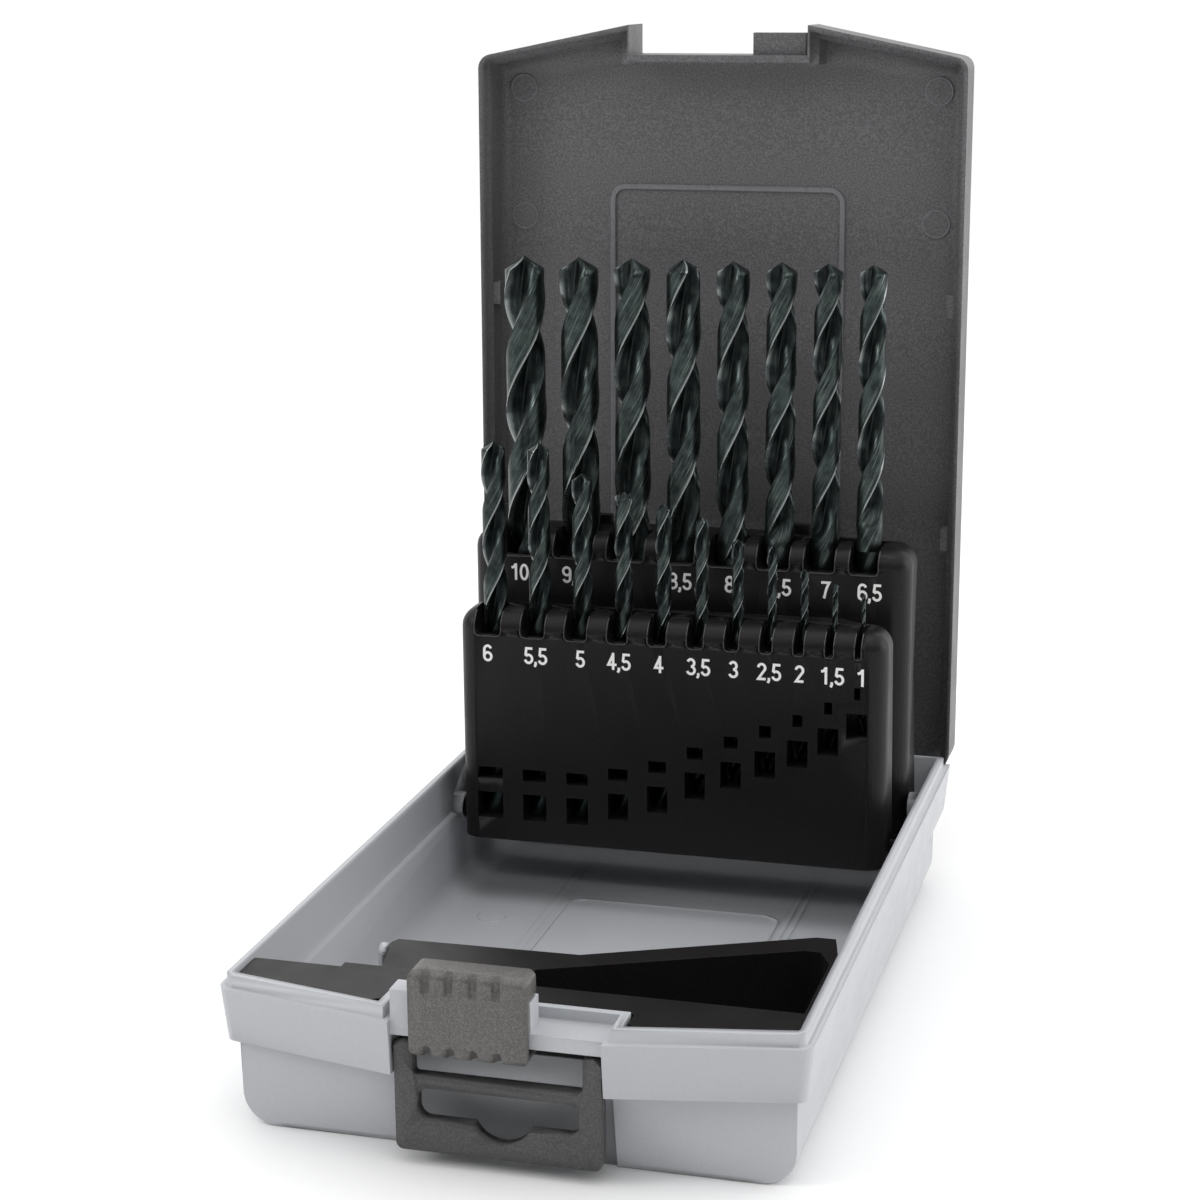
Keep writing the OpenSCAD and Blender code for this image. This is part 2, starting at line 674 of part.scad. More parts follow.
// Hollows under the seats of the bores, open below
module holder_cores(xs, ds, seats, web, face_y, t, low_z) {
    for (k = [0:len(xs) - 1]) {
        half = (ds[k] + web) / 2 - core_wall / 2;
        block([xs[k] - half, face_y + core_wall, low_z - 1],
            [xs[k] + half, face_y + t - core_wall, seats[k] - core_wall]);
    }
}

// Pivot pins on both ends of a holder
module pivot_pins(half, at) {
    x_cylinder(-rim_room_half, -half + eps, at, pivot_d);
    x_cylinder(half - eps, rim_room_half, at, pivot_d);
}

module front_holder() {
    color("black") {
        difference() {
            holder_body(front_half, front_face_y, front_t, front_low_z, front_top_z, holder_r);
            holder_cuts(front_x, front_d, front_seat_z, front_sight_z, front_row_y, front_face_y,
                front_top_z);
            holder_cores(front_x, front_d, front_seat_z, front_web, front_face_y, front_t,
                front_low_z);
        }
        pivot_pins(front_half, front_pivot);
    }
}

module rear_holder() {
    color("black") {
        difference() {
            holder_body(rear_half, rear_face_y, rear_t, rear_low_z, rear_top_z, holder_r);
            holder_cuts(rear_x, rear_d, rear_seat_z, rear_seat_z, rear_row_y, rear_face_y, rear_top_z);
            holder_cores(rear_x, rear_d, rear_seat_z, rear_web, rear_face_y, rear_t, rear_low_z);
        }
        pivot_pins(rear_half, rear_pivot);
        // Lugs on the back edge
        for (x = [-lug_x, lug_x]) {
            block([x - lug_w / 2, rear_face_y + rear_t - lug_t, rear_top_z - lap],
                [x + lug_w / 2, rear_face_y + rear_t, rear_top_z + lug_h]);
        }
    }
}

// ------------------------------------------------------------------ latch slider

// Grooves that give the thumb a grip, cut over the slider's upper and lower edge: each starts
// on the front face, run above or below which it has passed the edge, and leans in by slant
module grip_grooves(z, up, run, slant) {
    count = 4;
    groove_r = 0.95;
    for (k = [0:count - 1]) {
        x = slider_x + slider_l * (0.15 + 0.2 * k);
        translate([x, -slider_y - slider_t - 0.35, z - up * run]) {
            sphere(groove_r);
            rotate([up > 0 ? -slant : 180 + slant, 0, 0]) cylinder(h = 3 * run + 3, r = groove_r);
        }
    }
}

module latch_slider() {
    x0 = slider_x;
    x1 = slider_x + slider_l;
    top = slider_top;
    low = slider_top - slider_h;
    front = -slider_y - slider_t;
    hook_y = -rail_front + rail_t + gap;
    hook = 1.5;             // thickness of the hook behind the rail
    r = 1.6;
    reach = 30;             // longer than the slider is deep
    color("grey") difference() {
        intersection() {
            along_x(x0, x1) {
                difference() {
                    round_rect([front, low], [front + reach, top], r);
                    translate([front + slider_t, low + slider_t])
                        square([reach, slider_h - slider_t - slider_cap]);
                    translate([-lid_notch_y - 2 * gap, low + 2 * slider_t]) square([reach, slider_h]);
                    translate([hook_y + hook, low - 1]) square([reach, slider_h + 2]);
                }
                translate([hook_y, low]) square([hook, rim_z - shelf_t - gap - low]);
            }
            along_y(front - 1, front + reach) round_rect([x0, low], [x1, top], r);
        }
        grip_grooves(top, 1, 4, 16);
        grip_grooves(low, -1, 1.8, 42);
    }
}

// ------------------------------------------------------------------ hanger

// Hanging slot: a long slot with a round dip in the middle
module euro_slot(low, high, half, dip) {
    end_r = 2.4;
    dip_x = 0.7;
    round_rect([-half, low], [half, high], end_r);
    intersection() {
        translate([dip_x, low + dip * 0.42]) circle(dip);
        translate([-half, low - dip]) square([2 * half, high - low + dip]);
    }
}

module hanger_tab() {
    top = hanger_pin_z + 2.1;
    edge_round = 1.6;
    bar_z = hanger_low_z + 16;      // top of the bar between the slot and the window
    slot_low = hanger_low_z + 6.7;
    slot_high = bar_z - 2.5;
    half = hanger_half;
    color("dimgrey") {
        along_y(-hanger_y, -hanger_y + hanger_t) difference() {
            round_rect([-half, hanger_low_z], [half, top], edge_round);
            // Window between the arms
            round_rect([-arm_inner, bar_z], [arm_inner, top + 6], 0.8);
            euro_slot(slot_low, slot_high, arm_inner - 0.8, 6.3);
        }
        for (side = [0, 1]) mirror([side, 0, 0]) {
            x_cylinder(half - 1, notch_half + 1.6, [-hanger_axis_y, hanger_pin_z], hanger_pin_d);
        }
    }
}

// ------------------------------------------------------------------ drills

// Corner of the fluted part's section: two lands with two flutes between them
function flute_corner(d, a) = let (r = d / 2 * land_share, web = d * web_share / 2, f = abs(cos(a)))
    f < land_from ? web + (r - web) * pow(f / land_from, 1.5) : r;

// Ring of corners at height z, turned with the helix
function flute_ring(d, z, n) = [for (k = [0:n - 1]) let (a = k * 360 / n, r = flute_corner(d, a),
    t = a + 360 * z / (lead_per_d * d)) [r * cos(t), r * sin(t), z]];

// Fluted part from z = 0 to its point, with n corners in its section
module flutes(d, length, n) {
    straight = length - d / 2 / tan(point_half);
    steps = round(360 * straight / (lead_per_d * d) / slice_turn);
    rings = [for (i = [0:steps]) each flute_ring(d, straight * i / steps, n)];
    sides = [for (i = [0:steps - 1], k = [0:n - 1]) let (a = i * n + k, b = i * n + (k + 1) % n)
        each [[a, a + n, b], [b, a + n, b + n]]];
    point = [for (k = [0:n - 1]) [steps * n + k, len(rings), steps * n + (k + 1) % n]];
    polyhedron(concat(rings, [[0, 0, length]]), concat([[for (k = [0:n - 1]) k]], sides, point));
}

module drill(d, l, flute) {
    cylinder(h = l - flute, d = d);
    translate([0, 0, l - flute - shank_lap]) flutes(d, flute + shank_lap, d < flute_fine_d ? 8 : 12);
}

module rear_drill(k) {
    color("darkslategrey") translate([rear_x[k], rear_row_y, rear_seat_z[k]])
        drill(rear_d[k], rear_l[k], rear_flute[k]);
}

module front_drill(k) {
    color("darkslategrey") translate([front_x[k], front_row_y, front_seat_z[k]])
        drill(front_d[k], front_l[k], front_flute[k]);
}

base_tray();
lid();
tip_tray();
front_holder();
rear_holder();
latch_slider();
hanger_tab();
for (k = [0:len(rear_d) - 1]) rear_drill(k);
for (k = [0:len(front_d) - 1]) front_drill(k);
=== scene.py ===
"""Looks of a drill bit case that stands open with its nineteen twist drills.

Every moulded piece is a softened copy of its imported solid, each drill is ground by one
Geometry Nodes tree, and the sizes on the holders are printed as raised numerals.
"""

from __future__ import annotations

import logging
import math
from dataclasses import dataclass
from enum import Enum

import bmesh
import bpy
from mathutils import Matrix, Vector


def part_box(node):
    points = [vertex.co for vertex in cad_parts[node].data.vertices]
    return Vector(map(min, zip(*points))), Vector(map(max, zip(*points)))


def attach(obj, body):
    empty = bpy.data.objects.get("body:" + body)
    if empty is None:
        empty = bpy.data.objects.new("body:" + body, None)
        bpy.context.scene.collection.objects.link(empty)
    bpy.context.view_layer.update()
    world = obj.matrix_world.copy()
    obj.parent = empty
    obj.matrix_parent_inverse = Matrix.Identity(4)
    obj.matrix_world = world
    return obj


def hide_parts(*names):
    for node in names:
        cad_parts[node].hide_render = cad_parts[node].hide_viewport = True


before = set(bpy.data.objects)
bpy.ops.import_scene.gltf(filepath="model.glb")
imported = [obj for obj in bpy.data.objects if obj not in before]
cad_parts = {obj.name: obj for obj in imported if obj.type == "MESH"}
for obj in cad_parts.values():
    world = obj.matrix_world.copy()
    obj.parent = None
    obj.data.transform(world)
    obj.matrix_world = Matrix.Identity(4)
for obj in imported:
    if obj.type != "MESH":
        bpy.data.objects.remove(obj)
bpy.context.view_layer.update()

LOG = logging.getLogger("drill_case")
MM = 0.001
MERGE_DISTANCE = 0.002 * MM
# Attributes that a drill's mesh carries for its steel.
MARGIN = "margin"
DEPTH = "flute_depth"
FLUTE_RUN = "flute_run"

Path = list[tuple[float, float]]


# ---------------------------------------------------------------- helpers


def linear(colour: str) -> tuple[float, float, float, float]:
    """Turns an sRGB hex colour to linear light.

    Args:
        colour: a colour such as "#b9bcc3".

    Returns:
        Red, green, blue and alpha in linear light.
    """
    parts = [int(colour[k : k + 2], 16) / 255 for k in (1, 3, 5)]
    light = [c / 12.92 if c <= 0.04045 else ((c + 0.055) / 1.055) ** 2.4 for c in parts]
    return light[0], light[1], light[2], 1.0


def add_node(tree: bpy.types.NodeTree, kind: str, inputs: dict | None = None, **settings) -> bpy.types.Node:
    """Adds a node with its settings, and sets or links its inputs.

    Args:
        tree: the tree that gets the node.
        kind: the node's type name.
        inputs: a value or an output socket for each named or numbered input.
        **settings: the node's own properties.

    Returns:
        The new node.
    """
    node = tree.nodes.new(kind)
    for key, value in settings.items():
        setattr(node, key, value)
    for key, value in (inputs or {}).items():
        if isinstance(value, bpy.types.NodeSocket):
            tree.links.new(value, node.inputs[key])
        else:
            node.inputs[key].default_value = value
    return node


def new_object(name: str, mesh: bpy.types.Mesh) -> bpy.types.Object:
    """Puts a mesh in the scene as an object at the origin.

    Args:
        name: the object's name.
        mesh: its mesh.

    Returns:
        The new object.
    """
    obj = bpy.data.objects.new(name, mesh)
    bpy.context.scene.collection.objects.link(obj)
    return obj


def plain_mesh(obj: bpy.types.Object) -> bpy.types.Mesh:
    """Evaluates an object's modifiers into a plain mesh and takes them off.

    Args:
        obj: the object with its modifiers.

    Returns:
        The finished mesh.
    """
    bpy.context.view_layer.update()
    graph = bpy.context.evaluated_depsgraph_get()
    mesh = bpy.data.meshes.new_from_object(obj.evaluated_get(graph), depsgraph=graph)
    obj.modifiers.clear()
    return mesh


def start_tree(name: str, numbers: tuple[str, ...], places: tuple[str, ...] = ()) -> bpy.types.NodeTree:
    """Starts a Geometry Nodes tree with its named inputs.

    Args:
        name: the tree's name.
        numbers: its inputs that are numbers.
        places: its inputs that are places.

    Returns:
        The tree, without nodes.
    """
    tree = bpy.data.node_groups.new(name, "GeometryNodeTree")
    sockets = [("Geometry", "Geometry")] + [(n, "Float") for n in numbers] + [(n, "Vector") for n in places]
    for socket, kind in (*sockets, ("Finish", "Material")):
        tree.interface.new_socket(socket, in_out="INPUT", socket_type=f"NodeSocket{kind}")
    tree.interface.new_socket("Geometry", in_out="OUTPUT", socket_type="NodeSocketGeometry")
    return tree


def end_tree(tree: bpy.types.NodeTree, shape: bpy.types.NodeSocket, finish: bpy.types.NodeSocket) -> None:
    """Ends a Geometry Nodes tree: makes instances real and sets the finish.

    Args:
        tree: the tree.
        shape: the geometry that it puts out.
        finish: the material that the geometry gets.
    """
    whole = add_node(tree, "GeometryNodeRealizeInstances", {"Geometry": shape})
    dressed = add_node(tree, "GeometryNodeSetMaterial", {"Geometry": whole.outputs[0], "Material": finish})
    add_node(tree, "NodeGroupOutput", {"Geometry": dressed.outputs[0]})


def run_tree(tree: bpy.types.NodeTree, sizes: dict[str, object], seed: bpy.types.Mesh) -> bpy.types.Mesh:
    """Runs a Geometry Nodes tree once and keeps the result as a plain mesh.

    Args:
        tree: the tree.
        sizes: a value for each of its named inputs.
        seed: the mesh that it starts from.

    Returns:
        The finished mesh.
    """
    blank = new_object("blank", seed)
    step = blank.modifiers.new("step", "NODES")
    step.node_group = tree
    for item in tree.interface.items_tree:
        if item.name in sizes:
            step[item.identifier] = sizes[item.name]
    mesh = plain_mesh(blank)
    bpy.data.objects.remove(blank)
    return mesh


def turn_outwards(mesh: bpy.types.Mesh, weld: float, shortest: float = 0.0) -> None:
    """Closes a mesh's seams, points its faces outwards and shades it smooth.

    Args:
        mesh: the mesh.
        weld: points nearer than this become one, in metres.
        shortest: edges shorter than this go, in metres.
    """
    work = bmesh.new()
    work.from_mesh(mesh)
    bmesh.ops.remove_doubles(work, verts=work.verts, dist=weld)
    if shortest:
        bmesh.ops.dissolve_degenerate(work, edges=work.edges, dist=shortest)
    bmesh.ops.recalc_face_normals(work, faces=work.faces)
    work.to_mesh(mesh)
    work.free()
    mesh.shade_smooth()


def bow(cx: float, cy: float, rx: float, ry: float, start: float, end: float) -> Path:
    """Lays points along part of an ellipse.

    Args:
        cx: the middle, along the first axis.
        cy: the middle, along the second axis.
        rx: the radius along the first axis.
        ry: the radius along the second axis.
        start: the first point's angle, in degrees.
        end: the last point's angle, in degrees.

    Returns:
        The points, about 15 degrees apart, and nearer to one another on a short bow.
    """
    steps = max(4, round(abs(end - start) / 15))
    turns = [math.radians(start + (end - start) * k / steps) for k in range(steps + 1)]
    return [(cx + rx * math.cos(a), cy + ry * math.sin(a)) for a in turns]


def drill_node(size_mm: float) -> str:
    """Returns the name of the solid, and of the body, of the drill of one diameter."""
    return f"drill_{int(size_mm)}_{round(size_mm % 1 * 10)}"


def drill_middle(size_mm: float) -> float:
    """Returns X of the middle of the drill of one diameter, in metres."""
    low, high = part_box(drill_node(size_mm))
    return (low.x + high.x) / 2


# ---------------------------------------------------------------- finishes


def empty_material(name: str) -> bpy.types.Material:
    """Makes a material with an empty tree.

    Args:
        name: the material's name.

    Returns:
        The material.
    """
    material = bpy.data.materials.new(name)
    material.use_nodes = True
    material.node_tree.nodes.clear()
    return material


@dataclass(frozen=True)
class MouldedPlastic:
    """Injection-moulded plastic from an eroded mould: satin, with a fine even grain.

    The real grain is about 0.1 mm. It is drawn coarser, so that it shows.

    Attributes:
        name: the material's name.
        slot: the record's slot. Not used.
        colour: the ground colour.
        fleck: the colour of the grain's tops.
        grain_mm: width of the grain.
        fleck_share: how far the tops take their own colour.
        roughness: the middle of its roughness.
        bump_mm: height of the grain.
        gloss: its specular level.
        sheen_mm: width of the broad patches where the gloss changes.
        fleck_range: where in the pattern the tops start and are full.
        gloss_swing: how far the roughness goes down and up from its middle.
    """

    name: str
    slot: str
    colour: str
    fleck: str
    grain_mm: float
    fleck_share: float
    roughness: float
    bump_mm: float
    gloss: float = 0.5
    sheen_mm: float = 9.0
    fleck_range: tuple[float, float] = (0.40, 0.68)
    gloss_swing: tuple[float, float] = (-0.04, 0.05)

    def material(self) -> bpy.types.Material:
        """Builds the material, with its patterns in real millimetres.

        Returns:
            The material.
        """
        material = empty_material(self.name)
        tree = material.node_tree
        place = add_node(tree, "ShaderNodeTexCoord").outputs["Object"]
        grain = add_node(tree, "ShaderNodeTexNoise", {"Vector": place, "Scale": 1 / (self.grain_mm * MM),
                                                      "Detail": 3.0, "Roughness": 0.65})
        broad = add_node(tree, "ShaderNodeTexNoise",
                         {"Vector": place, "Scale": 1 / (self.sheen_mm * MM), "Detail": 2.0})
        low, high = self.fleck_range
        flecks = add_node(tree, "ShaderNodeMapRange",
                          {"Value": grain.outputs["Fac"], "From Min": low, "From Max": high,
                           "To Min": 0.0, "To Max": self.fleck_share})
        colour = add_node(tree, "ShaderNodeMix", {"Factor": flecks.outputs["Result"], 6: linear(self.colour),
                                                  7: linear(self.fleck)}, data_type="RGBA")
        down, up = self.gloss_swing
        rough = add_node(tree, "ShaderNodeMapRange",
                         {"Value": broad.outputs["Fac"], "From Min": 0.3, "From Max": 0.7,
                          "To Min": self.roughness + down, "To Max": self.roughness + up})
        bump = add_node(tree, "ShaderNodeBump", {"Height": grain.outputs["Fac"], "Strength": 1.0,
                                                 "Distance": self.bump_mm * MM})
        shader = add_node(tree, "ShaderNodeBsdfPrincipled",
                          {"Base Color": colour.outputs[2], "Roughness": rough.outputs["Result"],
                           "Normal": bump.outputs["Normal"], "Specular IOR Level": self.gloss})
        add_node(tree, "ShaderNodeOutputMaterial", {"Surface": shader.outputs["BSDF"]})
        return material


@dataclass(frozen=True)
class BlackOxideSteel:
    """Steam-tempered high speed steel: green-black oxide, drawn along the flutes, with ground margins.

    Attributes:
        name: the material's name.
        slot: the record's slot. Not used.
        land: colour of the oxide.
        bloom: colour of the paler clouds in the oxide.
        streak: colour of the grinding marks.
        flute: colour in the bottom of the flutes: darker oxide, with painted shade that deepens into the
            hollow.
        margin: colour of the ground margins.
        streak_mm: width of the grinding marks.
        cloud_mm: width of the clouds.
        metallic: how far it is bare metal under the thin oxide.
        bump_mm: depth of the grinding marks.
    """

    name: str = "steam_tempered_steel"
    slot: str = "black_oxide_steel"
    land: str = "#262d2d"
    bloom: str = "#4b5653"
    streak: str = "#7d8683"
    flute: str = "#0b0e0f"
    margin: str = "#959b9a"
    streak_mm: float = 0.42
    cloud_mm: float = 3.0
    metallic: float = 0.9
    bump_mm: float = 0.03

    def material(self) -> bpy.types.Material:
        """Builds the material. Its grinding marks run along the flutes, as the wheel does.

        Returns:
            The material.
        """
        material = empty_material(self.name)
        tree = material.node_tree
        place = add_node(tree, "ShaderNodeTexCoord").outputs["Object"]
        run = add_node(tree, "ShaderNodeAttribute", attribute_name=FLUTE_RUN)
        marks = add_node(tree, "ShaderNodeTexNoise",
                         {"Vector": run.outputs["Vector"], "Detail": 4.0, "Scale": 1 / (self.streak_mm * MM),
                          "Roughness": 0.7}).outputs["Fac"]
        clouds = add_node(tree, "ShaderNodeTexNoise", {"Vector": place, "Scale": 1 / (self.cloud_mm * MM),
                                                       "Detail": 3.0}).outputs["Fac"]
        # Darker towards the bottom of the flutes: darker oxide, with painted shade that deepens into the
        # hollow.
        depth = add_node(tree, "ShaderNodeAttribute", attribute_name=DEPTH).outputs["Fac"]
        margin = add_node(tree, "ShaderNodeAttribute", attribute_name=MARGIN).outputs["Fac"]

        # Each layer: its pattern, where it starts and is full, how far it covers, and its colour.
        colour = linear(self.land)
        for pattern, low, high, cover, over in ((clouds, 0.38, 0.7, 0.6, self.bloom),
                                                (marks, 0.52, 0.74, 0.75, self.streak),
                                                (depth, 0.1, 0.8, 0.7, self.flute),
                                                (margin, 0.2, 0.9, 0.8, self.margin)):
            share = add_node(tree, "ShaderNodeMapRange", {"Value": pattern, "From Min": low, "From Max": high,
                                                          "To Min": 0.0, "To Max": cover})
            colour = add_node(tree, "ShaderNodeMix", {"Factor": share.outputs["Result"], 6: colour,
                                                      7: linear(over)}, data_type="RGBA").outputs[2]
        # The marks are glossier than the oxide, and the ground margins glossier still.
        oxide = add_node(tree, "ShaderNodeMapRange", {"Value": marks, "From Min": 0.3, "From Max": 0.7,
                                                      "To Min": 0.44, "To Max": 0.27})
        ground = add_node(tree, "ShaderNodeMapRange", {"Value": margin, "From Min": 0.2, "From Max": 0.9,
                                                       "To Min": 0.0, "To Max": 0.12})
        rough = add_node(tree, "ShaderNodeMath", {0: oxide.outputs["Result"], 1: ground.outputs["Result"]},
                         operation="SUBTRACT")
        bump = add_node(tree, "ShaderNodeBump", {"Height": marks, "Strength": 0.6,
                                                 "Distance": self.bump_mm * MM})
        shader = add_node(tree, "ShaderNodeBsdfPrincipled",
                          {"Base Color": colour, "Metallic": self.metallic,
                           "Roughness": rough.outputs["Value"], "Normal": bump.outputs["Normal"]})
        add_node(tree, "ShaderNodeOutputMaterial", {"Surface": shader.outputs["BSDF"]})
        return material


@dataclass(frozen=True)
class PrintedInk:
    """White pad-printing ink: flat and a little uneven.

    Attributes:
        name: the material's name.
        colour: the ink's colour.
        grain_mm: width of its unevenness.
        rough_range: its least and greatest roughness.
    """

    name: str = "white_printing_ink"
    colour: str = "#f4f4f2"
    grain_mm: float = 0.4
    rough_range: tuple[float, float] = (0.45, 0.7)

    def material(self) -> bpy.types.Material:
        """Builds the material.

        Returns:
            The material.
        """
        material = empty_material(self.name)
        tree = material.node_tree
        place = add_node(tree, "ShaderNodeTexCoord").outputs["Object"]
        grain = add_node(tree, "ShaderNodeTexNoise", {"Vector": place, "Scale": 1 / (self.grain_mm * MM),
                                                      "Detail": 2.0})
        low, high = self.rough_range
        rough = add_node(tree, "ShaderNodeMapRange", {"Value": grain.outputs["Fac"],
                                                      "To Min": low, "To Max": high})
        shader = add_node(tree, "ShaderNodeBsdfPrincipled",
                          {"Base Color": linear(self.colour), "Roughness": rough.outputs["Result"]})
        add_node(tree, "ShaderNodeOutputMaterial", {"Surface": shader.outputs["BSDF"]})
        return material


class Finish(Enum):
    """The finishes of the case."""

    # Polypropylene, light blue grey: nearly even, with a soft satin gloss.
    LIGHT_GREY = MouldedPlastic("light_grey_polypropylene", "light_grey_plastic", "#b2b4b8", "#babcc0",
                                0.5, 0.5, 0.36, 0.008)
    # Polypropylene with metal flake, anthracite: a dark ground with fine pale sparkle.
    ANTHRACITE = MouldedPlastic("anthracite_polypropylene", "anthracite_plastic", "#545354", "#757477",
                                0.45, 0.8, 0.44, 0.015, 0.35)
    # Carbon-black polypropylene: soft grey highlights on the rounded edges.
    BLACK = MouldedPlastic("black_polypropylene", "black_plastic", "#151314", "#232122",
                           0.5, 0.6, 0.38, 0.01, 0.2)
    # Flecked polyamide of the latch, warm grey.
    WARM_GREY = MouldedPlastic("warm_grey_polyamide", "warm_grey_plastic", "#535150", "#767472",
                               0.35, 0.8, 0.42, 0.012, 0.4)
    # Flecked polyamide of the hanger, dark grey.
    DARK_GREY = MouldedPlastic("dark_grey_polyamide", "dark_grey_plastic", "#403f3f", "#5c5b5b",
                               0.35, 0.8, 0.46, 0.012, 0.4)
    # The lid's lines and ejector marks: the same plastic, smooth from the polished part of the mould, in a
    # lighter colour that is a painted highlight on their tops.
    ANTHRACITE_PAINTED_HIGHLIGHT = MouldedPlastic("smooth_anthracite_painted_highlight", "anthracite_plastic", "#6b6a6d",
                                       "#7d7c80", 0.6, 0.4, 0.28, 0.004, 0.5)
    # The rounded rims of the drill slots: smoother than the grained faces, so that they catch the light, in a
    # lighter grey that is a painted highlight along the rims.
    BLACK_PAINTED_HIGHLIGHT = MouldedPlastic("smooth_black_painted_highlight", "black_plastic", "#2c2a29", "#383635",
                                  0.6, 0.4, 0.26, 0.004, 0.5)
    # High speed steel, ground and steam-tempered: dark green-black, with bright drawn marks and margins.
    STEEL = BlackOxideSteel()
    # White ink, pad-printed: flat, with nearly no gloss.
    INK = PrintedInk()

    def material(self) -> bpy.types.Material:
        """Returns the finish's material, built on first use."""
        return bpy.data.materials.get(self.value.name) or self.value.material()


# ---------------------------------------------------------------- moulded pieces


@dataclass
class Moulding:
    """One moulded piece: a copy of its solid with softened edges.

    Attributes:
        node: the solid's name.
        body: the body that it moves with.
        finish: what it is made of.
        edge_mm: radius of its softened edges.
        sharp_deg: edges that turn more than this are softened.
        crease_deg: edges that turn more than this are shaded as creases.
        flat_deg: faces that turn less than this are joined.
        room: how many of its radii an edge needs at each end to be softened.
    """

    node: str
    body: str
    finish: Finish
    edge_mm: float = 0.3
    sharp_deg: float = 40.0
    crease_deg: float = 62.0
    flat_deg: float = 0.6
    room: float = 2.5

    def mesh(self) -> bpy.types.Mesh:
        """Copies the solid, joins its flat faces and rounds its long edges.

        Returns:
            The softened mesh, in triangles.
        """
        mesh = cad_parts[self.node].data.copy()
        work = bmesh.new()
        work.from_mesh(mesh)
        bmesh.ops.remove_doubles(work, verts=work.verts, dist=MERGE_DISTANCE)
        bmesh.ops.dissolve_limit(work, angle_limit=math.radians(self.flat_deg), verts=work.verts,
                                 edges=work.edges)
        self.shape(work)
        bmesh.ops.bevel(work, geom=self.sharp_edges(work), offset=self.edge_mm * MM, segments=2, profile=0.5,
                        affect="EDGES", clamp_overlap=True, offset_type="OFFSET")
        bmesh.ops.triangulate(work, faces=work.faces)
        work.to_mesh(mesh)
        work.free()
        return mesh

    def shape(self, work: bmesh.types.BMesh) -> None:
        """Reshapes the copy where a kind of moulding needs it."""

    def sharp_edges(self, work: bmesh.types.BMesh) -> list[bmesh.types.BMEdge]:
        """Finds the edges to soften: sharp ones whose ends have room for the rounding.

        Args:
            work: the piece's mesh.

        Returns:
            The edges.
        """
        limit = math.radians(self.sharp_deg)
        least = self.room * self.edge_mm * MM

        def roomy(vert: bmesh.types.BMVert) -> bool:
            """Tells whether every edge at a corner is longer than the rounding."""
            return all(e.calc_length() > least for e in vert.link_edges)

        return [e for e in work.edges
                if len(e.link_faces) == 2 and e.calc_face_angle(0.0) > limit and all(map(roomy, e.verts))]

    def dress(self) -> bpy.types.Object:
        """Builds the piece and gives it its finish and its place in the frame.

        Returns:
            The finished piece.
        """
        mesh = self.mesh()
        mesh.materials.clear()
        mesh.materials.append(self.finish.material())
        mesh.shade_smooth()
        mesh.set_sharp_from_angle(angle=math.radians(self.crease_deg))
        piece = new_object(f"{self.node}_moulding", mesh)
        flat = piece.modifiers.new("flat_faces_lead", "WEIGHTED_NORMAL")
        flat.keep_sharp = True
        flat.weight = 100
        piece.data = plain_mesh(piece)
        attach(piece, self.body)
        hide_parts(self.node)
        LOG.info("%s: %d faces", piece.name, len(mesh.polygons))
        return piece


@dataclass(frozen=True)
class HolderSizes:
    """Sizes of one drill holder, as its solid has them, and of what is printed on it.

    Attributes:
        node: the solid's and the body's name.
        drills_mm: its drills' diameters, from left to right.
        half_mm: half its width, without the pivots.
        face_mm: Y of its front face.
        thick_mm: its thickness.
        top_mm: height of its top.
        lugs_mm: how far its lugs stand above its top.
        label_drop_mm: distance of the numerals' middle below its top.
        label_shifts_mm: how far each label sits right of its drill's middle.
    """

    node: str
    drills_mm: tuple[float, ...]
    half_mm: float
    face_mm: float
    thick_mm: float
    top_mm: float
    lugs_mm: float
    label_drop_mm: float
    label_shifts_mm: tuple[float, ...]


FRONT = HolderSizes("front_holder", (6.0, 5.5, 5.0, 4.5, 4.0, 3.5, 3.0, 2.5, 2.0, 1.5, 1.0),
                    52.5, 39.5, 14.0, 77.0, 0.0, 10.5, (0, 0.8, 1.2, 0.5, 0.5, 0.9, 0.6, 0.9, 0.4, 0.8, 0.9))
REAR = HolderSizes("rear_holder", (10.0, 9.5, 9.0, 8.5, 8.0, 7.5, 7.0, 6.5),
                   54.6, 58.5, 16.0, 92.5, 2.2, 10.2, (0, 0.2, 0.6, 1.1, 1.2, 1.7, 1.7, 1.7))


